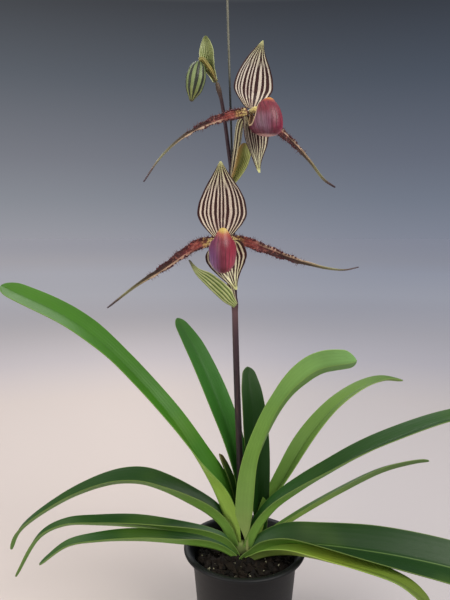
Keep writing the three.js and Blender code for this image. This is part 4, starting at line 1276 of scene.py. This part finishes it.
# %% Stem, stake and crown
SCAPE_LINE = [[-3, 3, 112], [-5, 3, 205], [-8, 3, 279], [-10, 3, 340], [-11, 2, 377], [-13, 5, 434],
              [-14, 4, 503], [-18, 4, 536], [-21, 3, 558], [-24.5, 2, 579], [-29, 1, 595.5]]
SCAPE_RADIUS = along([[0, 3.9], [0.3, 3.4], [0.54, 3.1], [0.57, 2.6], [0.8, 2.1], [1, 1.7]])
SCAPE_JOINTS = [(0.552, 0.8), (0.818, 0.9), (0.985, 0.8)]
JOINT_REACH = 0.01
STAKE_LINE = [[2, 16, 30], [-8.5, 13, 355], [-19, 10, 680]]
STAKE_RADIUS = along([[0, 1.1], [1, 1.1]])
CROWN_LINE = [[-2, -1, 84], [-2, -1, 104], [-3, -2, 125]]


def scape_radius(places):
    collars = sum(size * np.exp(-((places - at) / JOINT_REACH) ** 2) for at, size in SCAPE_JOINTS)
    return SCAPE_RADIUS(places) + collars


stalk("flower_stem", SCAPE_LINE, scape_radius, stem_finish("dark_stem"), "stem_tissue", "scape",
      rows=260, columns=26, ends=(0, 0.004))
stalk("stem_stake", STAKE_LINE, STAKE_RADIUS, stake_finish("coated_stake"), "stake_wire", "stake",
      columns=16, ends=(0.002, 0.002))
CROWN_SKIN = stalk_finish(
    "crown_skin", [(0, "12100A"), (0.6, "2E2E16"), (0.85, "5A6A32"), (1, "7A8A46")], rough=0.6)
stalk("leaf_crown", CROWN_LINE, along([[0, 4], [0.3, 9.5], [0.75, 9.5], [1, 5]]), CROWN_SKIN,
      "crown_tissue", "crown", flatten=0.68, columns=32, ends=(0.1, 0.1))

# %% [markdown]
# ## Flowers
# Each flower is built on its own axes, to the right, to the front and up, and then turned and nodded
# as a whole, which is how a florist would wire one. Every line below is in those axes.

# %% Where the flowers stand
FLOWERS = {
    "lower": dict(
        centre=(-24, -30, 443), turn=2, nod=4, foot=(-11, -2, 379), breadth=1.0,
        petal_left=[
            [-4, 1, 1], [-20, 0, -1], [-34, -1, -9], [-56, -4, -25], [-84, -12, -44], [-114, -21, -68],
        ],
        petal_right=[
            [4, 1, 1], [20, 0, 1], [37, -0.5, -5], [53, -2, -11], [70, -4, -17.5], [86, -6, -22],
            [102, -9, -26.3], [122, -14, -29], [137, -18, -27],
        ],
        dorsal=[[0, 0, 3], [0, -2, 20], [0, 2, 40], [-1, 11, 58], [-2, 22, 74]],
        synsepal=[
            [0, 0, -2], [2.2, 1, -8], [4, 2, -14], [5.5, 4, -21], [7.6, 8, -29], [10.6, 12, -37],
            [13.5, 15, -43],
        ],
        # the two slipper values after mouth_depth paint light: a violet sheen on the side away from the light
        # and pale highlights low on it
        mouth=("BCA24C", "A8543A"), mouth_depth=0.13, shaded_side_sheen="70467C", sheen_paint=0.42, sole="9A3A4A",
        pouch=dict(
            centre=24, half_width=12.6, lean=0,
            rim=[
                [0, 16], [0.1, 15.3], [0.18, 13.2], [0.24, 10.2], [0.27, 7.8], [0.31, 5.4], [0.42, 3],
                [0.67, -2], [0.83, -7], [1, 0],
            ],
            girth=[
                [0, 0.02], [0.012, 0.24], [0.04, 0.44], [0.1, 0.67], [0.25, 0.92], [0.5, 1], [0.6, 0.98],
                [0.7, 0.92], [0.8, 0.8], [0.9, 0.7], [1, 0.6],
            ],
        ),
    ),
    "upper": dict(
        centre=(3, -22, 563), turn=37, nod=-2, foot=(-14, 0, 505), breadth=0.8,
        petal_left=[[-4, 1, 0], [-18, 0, -3], [-50, 2, -14], [-80, 3, -30], [-101, 2, -48], [-116, 0, -68]],
        petal_right=[[4, 1, 0], [20, 0, -6], [48, 0, -20], [76, 0, -39], [97, 0, -57], [115, 0, -65]],
        dorsal=[[0, 0, 3], [0, -2, 17], [-1, 3, 33], [-2, 12, 47], [-3, 22, 58]],
        synsepal=[[0, 0, -3], [1, 1, -16], [2, 3, -32], [2, 6, -46], [1, 10, -56]],
        # the two slipper values after mouth_depth paint light: a violet sheen on the side away from the light
        # and pale highlights low on it
        mouth=("C08038", "A04A2E"), mouth_depth=0.07, shaded_side_sheen="56182E", sheen_paint=0.18, sole="D2A29C",
        pouch=dict(
            centre=21, half_width=13.8, lean=6,
            rim=[
                [0, 8], [0.12, 7.4], [0.24, 5.6], [0.33, 3.5], [0.39, 0], [0.45, -7], [0.52, -12.5],
                [0.6, -15], [0.75, -14.5], [0.87, -10], [1, 0],
            ],
            girth=[
                [0, 0.02], [0.012, 0.24], [0.04, 0.48], [0.1, 0.73], [0.25, 0.95], [0.5, 1], [0.62, 0.98],
                [0.75, 0.93], [0.9, 0.8], [1, 0.66],
            ],
        ),
    ),
}


class FlowerAxes:
    """Turns points and directions on a flower's own axes into the plant's."""

    def __init__(self, centre, turn, nod):
        turning = Matrix.Rotation(math.radians(turn), 3, "Z") @ Matrix.Rotation(math.radians(nod), 3, "X")
        self.turning = np.array(turning)
        self.centre = np.array(centre, float)

    def direction(self, right, front, up):
        return self.turning @ np.array((right, -front, up), float)

    def place(self, points):
        flat = np.array(points, float).reshape(-1, 3) * (1, -1, 1)
        return flat @ self.turning.T + self.centre


AXES = {which: FlowerAxes(f["centre"], f["turn"], f["nod"]) for which, f in FLOWERS.items()}
print("flowers:", ", ".join(AXES))

# %% [markdown]
# ### Sepals and petals
# The upright sepal and the joined pair below are cupped shields. The petals hang out sideways like
# a moustache: narrow, a little ruffled near the foot and turning over towards the tip.

# %% Sepals and petals
DORSAL_WIDTH = along([
    [0, 12], [0.1, 28], [0.2, 39.5], [0.33, 46], [0.46, 43.5], [0.6, 35.5], [0.85, 13], [1, 1.4]])
SYNSEPAL_WIDTH = along([
    [0, 26], [0.07, 34], [0.14, 37.5], [0.28, 39], [0.47, 33], [0.66, 21], [0.85, 9], [1, 1.4]])
PETAL_WIDTH = {
    "lower": along([
        [0, 8.6], [0.1, 10], [0.24, 8.8], [0.4, 7], [0.55, 5.2], [0.7, 3.6], [0.93, 2.8], [1, 2]]),
    "upper": along([
        [0, 8], [0.1, 8.4], [0.28, 7.2], [0.42, 5.4], [0.55, 4], [0.7, 3], [0.93, 2.6], [1, 2]]),
}
PETAL_ROLL = along([[0, 8], [0.4, 22], [1, 70]])
BLADE_THICKNESS = 0.9


def sepal(name, axes, line, width, breadth, cup, material, node):
    """cup is how far the edges stand off the middle at the widest place."""
    side = 1 if line[-1][2] > 0 else -1
    full = width(TOWARD_TIP) * breadth
    flat = np.zeros(LINE_POINTS)
    return blade(
        name, "sepal_tissue", node, axes.place(smooth_line(line, TOWARD_TIP)), axes.direction(side, 0, 0),
        material, half=full / 2 * round_off(TOWARD_TIP, 0.03, 0.01), roll=flat, fold=flat,
        Rows=80, Columns=41, Cup=cup * MM / (full.max() / 2 * MM) ** 2, Ruffle=0.5 * MM, Ruffles=2.0,
        Edge=0.6 * MM, Keel=BLADE_THICKNESS * MM, Soft_Keel=0.0, Tip_Rows=1.15)


def petal(name, axes, line, width, material, node):
    side = 1 if line[-1][0] > 0 else -1
    return blade(
        name, "petal_tissue", node, axes.place(smooth_line(line, TOWARD_TIP)), axes.direction(0, 0, side),
        material, half=width(TOWARD_TIP) / 2 * round_off(TOWARD_TIP, 0.02, 0.012),
        roll=np.radians(side * PETAL_ROLL(TOWARD_TIP)), fold=np.radians(4 + 14 * TOWARD_TIP),
        Rows=180, Columns=17, Centred=0.5, Ruffle=1.3 * MM, Ruffles=7.0, Ruffled_Up_To=0.62,
        Edge=0.7 * MM, Keel=1.2 * MM, Soft_Keel=0.1, Tip_Rows=1.1)


STRIPED = {
    "lower": sepal_finish(
        "striped_sepal", 11, 7, [(0, "C0B08A"), (0.2, "D4C4B0"), (0.6, "DACBBA"), (1, "C4C490")]),
    "upper": sepal_finish(
        "bold_striped_sepal", 9, 7, [(0, "C0B08A"), (0.2, "D8CCBA"), (0.6, "DCD2C2"), (1, "C4C490")]),
}
UNDER_STRIPED = sepal_finish(
    "striped_under_sepal", 9, 5, [(0, "BCB080"), (0.3, "D8CCB4"), (0.75, "CCC8A0"), (1, "BCBC7C")])
PETAL_SKIN = petal_finish("petal_skin")
petals = {}
for which, f in FLOWERS.items():
    axes = AXES[which]
    sepal(f"{which}_upright_sepal", axes, f["dorsal"], DORSAL_WIDTH, 1.0, 7, STRIPED[which],
          f"{which}_dorsal_sepal")
    sepal(f"{which}_joined_sepals", axes, f["synsepal"], SYNSEPAL_WIDTH, f["breadth"], 6, UNDER_STRIPED,
          f"{which}_synsepal")
    for side in ("left", "right"):
        name = f"{which}_{side}_petal"
        line = f[f"petal_{side}"]
        petals[name] = petal(name, axes, line, PETAL_WIDTH[which], PETAL_SKIN, f"{which}_petal_{side}")

# %% [markdown]
# ### Warts and hairs
# The petals carry dark warts along both edges of their first half, and fine hairs that reach a little
# further out. They repeat by the hundred, so one tree scatters a low dome or a thin spike on the
# petal's edge band, and the `outward` direction that the blade tree stored points them away from it.

# %% The edge tree
def edge_tree():
    tree, nodes, given = new_tree("dots_along_edge", {
        "Density": "Float", "Seed": "Int", "Band": "Float", "Up To": "Float", "Length": "Float",
        "Girth": "Float", "Spike": "Bool", "Lean": "Float", "Material": "Material",
    })
    seed = given["Seed"]
    at_edge = less(nodes, given["Band"], abs(named(nodes, "span")))
    scattered = strewn(nodes, given, at_edge, less(nodes, named(nodes, "place"), given["Up To"]))
    outward = named(nodes, "outward", "FLOAT_VECTOR")
    normal = nodes.out(scattered, "Normal")
    shake = chance(nodes, (-0.45, -0.45, -0.45), (0.45, 0.45, 0.45), seed, "FLOAT_VECTOR")
    lean = normal + outward * given["Lean"] + shake * given["Lean"]
    points = store(nodes, nodes.out(scattered, "Points"), "lean", lean, "FLOAT_VECTOR")
    aim = nodes.value("FunctionNodeAlignRotationToVector", {"axis": "Z"}, {
        "Vector": named(nodes, "lean", "FLOAT_VECTOR")})
    dome = nodes.value("GeometryNodeMeshIcoSphere", {}, {"Radius": 1.0, "Subdivisions": 2}, "Mesh")
    spike = nodes.value("GeometryNodeMeshCone", {}, {
        "Vertices": 5, "Side Segments": 2, "Radius Top": 0.12, "Radius Bottom": 1.0, "Depth": 1.0}, "Mesh")
    shape = nodes.value("GeometryNodeSwitch", {"input_type": "GEOMETRY"}, {
        "Switch": given["Spike"], "False": dome, "True": spike})
    size = chance(nodes, 0.55, 1.15, seed + 5)
    girth = given["Girth"] * size
    placed = nodes.value("GeometryNodeInstanceOnPoints", {}, {
        "Points": points, "Instance": shape, "Rotation": aim,
        "Scale": nodes.combine(girth, girth, given["Length"] * size)})
    end_tree(nodes, placed, given["Material"])
    return tree


EDGE_DOTS = edge_tree()
WART = stalk_finish("wart_skin", [(0, "3E0C16"), (1, "4E141E")], rough=0.45)
HAIR = stalk_finish("dark_hair", [(0, "4A1A20"), (1, "6A3430")], rough=0.5)
EDGE_KINDS = [
    ("warts", 20, dict(Density=420000.0, Band=0.8, Up_To=0.5, Length=0.9 * MM, Girth=0.9 * MM, Spike=False,
                       Lean=0.3, Material=WART)),
    ("hairs", 40, dict(Density=520000.0, Band=0.9, Up_To=0.58, Length=3.2 * MM, Girth=0.2 * MM, Spike=True,
                       Lean=2.2, Material=HAIR)),
]
for number, (name, piece) in enumerate(petals.items()):
    for kind, first_seed, inputs in EDGE_KINDS:
        edge_bed = new_object(f"{name}_{kind}_bed", piece.data)
        made = grow(f"{name}_{kind}", edge_bed, EDGE_DOTS, Seed=first_seed + number, **inputs)
        hand_over(made, "petal_tissue")

# %% [markdown]
# ### The slipper
# The pouch is an outer and an inner cup that share a rounded rim. The rim is highest in front, drops
# at the sides and runs back to the flower's middle as a claw. It is mesh code, because the wall is
# described best as rings round the pouch, each with its own height and girth.

# %% The slippers
LIP_FRONT = 19
LIP_BACK = 18.5
LIP_FLOOR = -25
LIP_SLOPE = 0.16
LIP_WALL = 1.3
LIP_ROWS = 44
LIP_SIDES = 96
LIP_RIM_STEPS = 7
LIP_ROW_POWER = 1.7
LIP_INNER_DROP = 0.012
LIP_NARROWEST = 0.02


def lip_rings():
    """Rings up the outer cup, over the rim and down the inner one: inset, share of height, rise."""
    climb = [(i / LIP_ROWS) ** LIP_ROW_POWER for i in range(LIP_ROWS + 1)]
    rings = [(0.0, share, 0.0) for share in climb]
    for i in range(1, LIP_RIM_STEPS):
        turn = math.pi * i / LIP_RIM_STEPS
        rings.append((LIP_WALL * (0.5 - 0.5 * math.cos(turn)), 1.0, LIP_WALL / 2 * math.sin(turn)))
    return rings + [(LIP_WALL, share, 0.0) for share in reversed(climb)]


def slipper(name, axes, pouch, material, node):
    rim_at = along(pouch["rim"])
    girth_at = along(pouch["girth"])
    top = pouch["rim"][0][1]
    rings = lip_rings()
    corners = []
    carried_values = {label: [] for label in ("height", "front", "side", "turn", "within", "rim")}
    for inset, rise, proud in rings:
        low = LIP_FLOOR + inset
        for k in range(LIP_SIDES):
            turn = k / LIP_SIDES * 2 * math.pi
            share = turn / math.pi
            rim = float(rim_at(abs(share - 2 if share > 1 else share)))
            up = low + (rim - low) * rise
            height = (up - LIP_FLOOR) / (top - LIP_FLOOR)
            ahead = math.cos(turn)
            girth = float(girth_at(max(height - inset * LIP_INNER_DROP, 0)))
            centre = pouch["centre"] - pouch["lean"] * height ** 2
            reach = max((LIP_FRONT if ahead > 0 else LIP_BACK) * girth - inset, LIP_NARROWEST)
            out = max(pouch["half_width"] * girth - inset, LIP_NARROWEST) * math.sin(turn)
            sunk = LIP_SLOPE * reach * ahead * (1 - height)
            corners.append([out, centre + reach * ahead, up + proud - sunk])
            values = (height, ahead, math.sin(turn), abs(share - 1) * 2, min(inset / LIP_WALL, 1) ** 2, rise)
            for kept, value in zip(carried_values.values(), values):
                kept.append(value)
    last = len(rings) - 1
    sides = range(LIP_SIDES)
    at = lambda i, k: i * LIP_SIDES + k % LIP_SIDES
    faces = [tuple(at(0, k) for k in sides), tuple(at(last, k) for k in reversed(sides))]
    for i in range(last):
        faces += [(at(i, k), at(i + 1, k), at(i + 1, k + 1), at(i, k + 1)) for k in sides]
    made = mesh_object(name, axes.place(corners), faces)
    for label, values in carried_values.items():
        carry(made.data, label, values)
    made.data.materials.append(material)
    made.data.shade_smooth()
    return hand_over(made, "lip_tissue", node)


for which, f in FLOWERS.items():
    looks = [f[key] for key in ("mouth", "mouth_depth", "shaded_side_sheen", "sheen_paint", "sole")]
    skin = slipper_finish(f"{which}_slipper_skin", *looks)
    slipper(f"{which}_slipper", AXES[which], f["pouch"], skin, f"{which}_lip")

# %% [markdown]
# ### Shields and ovaries
# The beaked shield sits in the mouth of each slipper, and behind each flower runs its striped ovary, a
# ribbed stalk. Both are round bodies along a short line, so the stalk tree makes them.

# %% Shields and ovaries
COLUMN_LINE = [[-4, 0], [3, 1], [9, 1.5], [13, -1], [15, -7]]
COLUMN_RADIUS = along([[0, 3.2], [0.35, 4], [0.7, 4.2], [0.9, 2.6], [1, 1.2]])
OVARY_RADIUS = along([[0, 2.2], [0.3, 3], [0.75, 3.4], [1, 2.6]])
OVARY_APPROACH = [[11, -6], [5, -1], [0.5, 0]]
OVARY_SAG = 3
SHIELD_SKIN = shield_finish("shield_skin")
OVARY_SKIN = stalk_finish(
    "striped_ovary", [(0, "A89C78"), (0.4, "CEC6A4"), (1, "B0AC7C")], stripe="2E0C16", count=7, depth=0.95,
    rough=0.45)
for which, f in FLOWERS.items():
    axes = AXES[which]
    column = axes.place([[0, front, up] for front, up in COLUMN_LINE])
    stalk(f"{which}_shield", column, COLUMN_RADIUS, SHIELD_SKIN, "staminode_tissue", f"{which}_staminode",
          across=axes.direction(1, 0, 0), columns=28, flatten=0.62, ends=(0.05, 0.1))
    behind = axes.place([[0, COLUMN_LINE[0][0] - back, up] for back, up in OVARY_APPROACH])
    half = (np.array(f["foot"]) + behind[0]) / 2 + (0, OVARY_SAG, 0)
    stalk(f"{which}_ovary", [f["foot"], half, *behind], OVARY_RADIUS, OVARY_SKIN, "ovary_tissue",
          f"ovary_{which}", rows=90, columns=48, ribs=6.0, rib_depth=0.07, ends=(0.02, 0.02))

# %% [markdown]
# ### Bud and sheaths
# The bud is the same kind of body as an ovary, fatter and ribbed, on a bent stalk. A boat-shaped
# sheath grows at the foot of each flower's stalk: a short blade, folded deeply and closing towards its
# tip. The side that it opens to is given as one direction, because that is what the eye sees first.

# %% Bud and sheaths
BUD_LINE = [[-46, -4, 613.5], [-48, -4, 603], [-50.5, -4, 590], [-53.6, -4, 576.5]]
BUD_RADIUS = along([[0, 2.6], [0.15, 7.2], [0.42, 9.4], [0.7, 7.8], [0.93, 2.8], [1, 1.6]])
BUD_STALK = [[-29.3, 0.9, 596.2], [-31.4, 1.4, 601], [-34.4, -0.4, 606], [-38.4, -2.6, 611],
             [-42.4, -4.2, 615.2], [-45.9, -4, 614.4]]
SHEATHS = {
    "bract_lower": dict(
        line=[
            [-12, -5, 377], [-21.5, -10, 383], [-30.5, -13, 391.5], [-41, -14, 402], [-50, -13.5, 412],
            [-56.5, -12, 425],
        ],
        inside=(0.75, 0.1, 0.65), fold=58,
        width=[[0, 11], [0.3, 31], [0.6, 27], [0.9, 9], [1, 3]],
        skin=(("8C9E48", "B8BE78"), "3A5220", "3A2A1C", (-0.6, -0.98, "8A4A34")),
    ),
    "bract_upper": dict(
        line=[
            [-13.6, 1.8, 501.5], [-11.8, -3.4, 505.5], [-9, -7.2, 511], [-6, -9, 518], [-3.6, -9, 526],
            [-2.6, -8, 532], [-2.5, -6, 537.5],
        ],
        inside=(0.2, -0.9, 0.3), fold=50,
        width=[[0, 8], [0.3, 15], [0.55, 19.5], [0.75, 18], [0.92, 9], [1, 3]],
        skin=(("8C9438", "A8AC48"), "5E6A26", "8A7A34", (0.0, 0.8, "C89A5C")),
    ),
    "bract_bud": dict(
        line=[
            [-29.6, 2.5, 595.5], [-31.8, 4.6, 602], [-34.4, 5.6, 609], [-36, 5.4, 617], [-37.4, 4.4, 625],
            [-40, 2.5, 638.5],
        ],
        inside=(-0.25, -0.95, -0.1), fold=48,
        width=[[0, 8], [0.22, 14.5], [0.42, 20.5], [0.62, 20.5], [0.85, 12], [1, 3]],
        skin=(("66742C", "808A3A"), "48541F", "666E2C", None),
    ),
}
SHEATH_CLOSING = along([[0, 1.2], [0.6, 1], [1, 0.6]])


def sheath(node, line, inside, fold, width, skin):
    """inside is the direction that the open side of the boat looks to."""
    chord = Vector(line[-1]) - Vector(line[0])
    return blade(
        node.replace("bract", "sheath"), "bract_sheath", node, smooth_line(line, TOWARD_TIP),
        Vector(inside).cross(chord), sheath_finish(node + "_skin", *skin),
        half=along(width)(TOWARD_TIP) / 2 * round_off(TOWARD_TIP, 0, 0.04), roll=np.zeros(LINE_POINTS),
        fold=np.radians(fold * SHEATH_CLOSING(TOWARD_TIP)) * 0.875,
        Rows=64, Columns=33, Bow=-0.2857, Ruffle=0.4 * MM, Ruffles=1.5, Edge=0.6 * MM, Keel=1.1 * MM,
        Soft_Keel=0.2, Tip_Rows=1.2)


for node, values in SHEATHS.items():
    sheath(node, **values)
BUD_SKIN = stalk_finish(
    "bud_skin", [(0, "4E5E30"), (0.3, "80905E"), (0.6, "768450"), (0.93, "848A4A"), (1, "3A2426")],
    stripe="1A1C18", count=9, depth=0.95, rough=0.45)
NECK_SKIN = stalk_finish(
    "bud_neck_skin", [(0, "6A5A2A"), (0.5, "A89A4C"), (1, "8A8440")], stripe="3A2418", count=7, depth=0.7)
stalk("closed_bud", BUD_LINE, BUD_RADIUS, BUD_SKIN, "bud_tissue", "bud", rows=90, columns=72, ribs=9.0,
      rib_depth=0.035, ends=(0.03, 0.03))
stalk("bud_neck", BUD_STALK, along([[0, 1.9], [0.6, 2.2], [1, 2.4]]), NECK_SKIN, "ovary_tissue", "bud_stalk",
      across=(0, 1, 0), columns=28, ends=(0.02, 0.02))

# %% [markdown]
# ## Floor and light
# A pale floor, whose colour paints a pool of light that dims and turns bluer further out and brightens on the
# left, and large soft lights, like a light tent: a strong one high on the right, a wider and weaker one on
# the left and one behind that draws the edges of the leaves.

# %% Floor and lights
FLOOR_REACH = 14.0
FLOOR_FALL = 0.8
FLOOR_CENTRE = (CAMERA_PLACE[0] * MM, CAMERA_PLACE[1] * MM)
FLOOR_CALM = 0.62

half_side = FLOOR_REACH / MM
floor_corners = [(-half_side, -half_side, 0), (half_side, -half_side, 0), (half_side, half_side, 0),
                 (-half_side, half_side, 0)]
floor = mesh_object("floor", floor_corners, [(0, 1, 2, 3)])


def lit_from_left(nodes, tint, aside):
    """The colour a little brighter on the left and cooler on the right, aside being how far right."""
    shift = nodes.combine(aside * -0.5 + 1, aside * -0.4 + 1, aside * -0.25 + 1)
    return nodes.vector("MULTIPLY", tint, shift)


def floor_finish():
    """A painted pool of light: pale round the pot and a little bluer and darker the further out it lies, on
    every side.
    """
    def draw(nodes):
        place = nodes.split(object_place(nodes))
        right = place[0] - FLOOR_CENTRE[0]
        back = place[1] - FLOOR_CENTRE[1]
        distance = (right * right + back * back) ** 0.5
        near = 1 / (distance.rise(FLOOR_CALM, FLOOR_REACH) * (FLOOR_REACH - FLOOR_CALM) + FLOOR_CALM)
        aside = right * near
        # painted light: brightest near the front, darker and bluer further out
        tint = ramp(nodes, near * FLOOR_FALL, [
            (0.057, "B7B9C8"), (0.117, "C1C1CD"), (0.18, "C6C8D6"), (0.33, "C9CAD6"), (0.42, "C5C4CF"),
            (0.6, "C2BEC5"), (0.8, "C0BAC0"), (1.0, "C8BEBC"),
        ])
        uneven = 0.8 - near.rise(0.11, 0.41) * 0.3
        # painted light: the floor brighter on the left and bluer on the right
        tint = lit_from_left(nodes, tint, (aside.rise(-0.4, 0.4) - 0.5) * uneven)
        return tint, 0.85 + noise(nodes, 3, 3) * 0.05, None, 0

    return finish("pale_floor", draw)


floor.data.materials.append(floor_finish())


LIGHT_AIM = Vector((0, 0, 0.3))
LIGHTS = [
    ("key_light", (0.9, -1.0, 1.4), 1.0, 26, (1.0, 0.97, 0.92)),
    ("fill_light", (-1.3, -0.9, 0.8), 1.2, 12, (1.0, 0.99, 0.96)),
    ("back_light", (-0.3, 1.2, 1.3), 1.0, 8, (1.0, 1.0, 1.0)),
]
for name, place, size, power, tint in LIGHTS:
    data = bpy.data.lights.new(name, "AREA")
    data.size = size
    data.energy = power
    data.color = tint
    light = new_object(name, data)
    light.location = place
    light.rotation_euler = (LIGHT_AIM - Vector(place)).to_track_quat("-Z", "Y").to_euler()
    print(name, "of", power, "watts")


def soft_room():
    """A room that is pale low down, slate at the flowers' height and bright overhead."""
    world = bpy.data.worlds.new("soft_room")
    world.use_nodes = True
    world.node_tree.nodes.clear()
    nodes = Nodes(world.node_tree)
    place = nodes.split(nodes.value("ShaderNodeTexCoord", key="Generated"))
    aside = place[0]
    up = place[2]
    tint = ramp(nodes, up * 0.5 + 0.5, [
        (0.0, "C4BEBC"), (0.484, "8E909B"), (0.49, "8B8E99"), (0.517, "7D828D"), (0.55, "6F737E"),
        (0.611, "545A64"), (0.664, "3E4147"), (0.8, "D8D8D8"),
    ])
    tint = lit_from_left(nodes, tint, aside.rise(-0.4, 0.4) * 0.8 - 0.4)
    lit = nodes.node("ShaderNodeBackground", {}, {"Color": tint, "Strength": 1.0})
    nodes.node("ShaderNodeOutputWorld", {}, {"Surface": nodes.out(lit)})
    return world


bpy.context.scene.world = soft_room()
bpy.context.scene.view_settings.view_transform = "Standard"
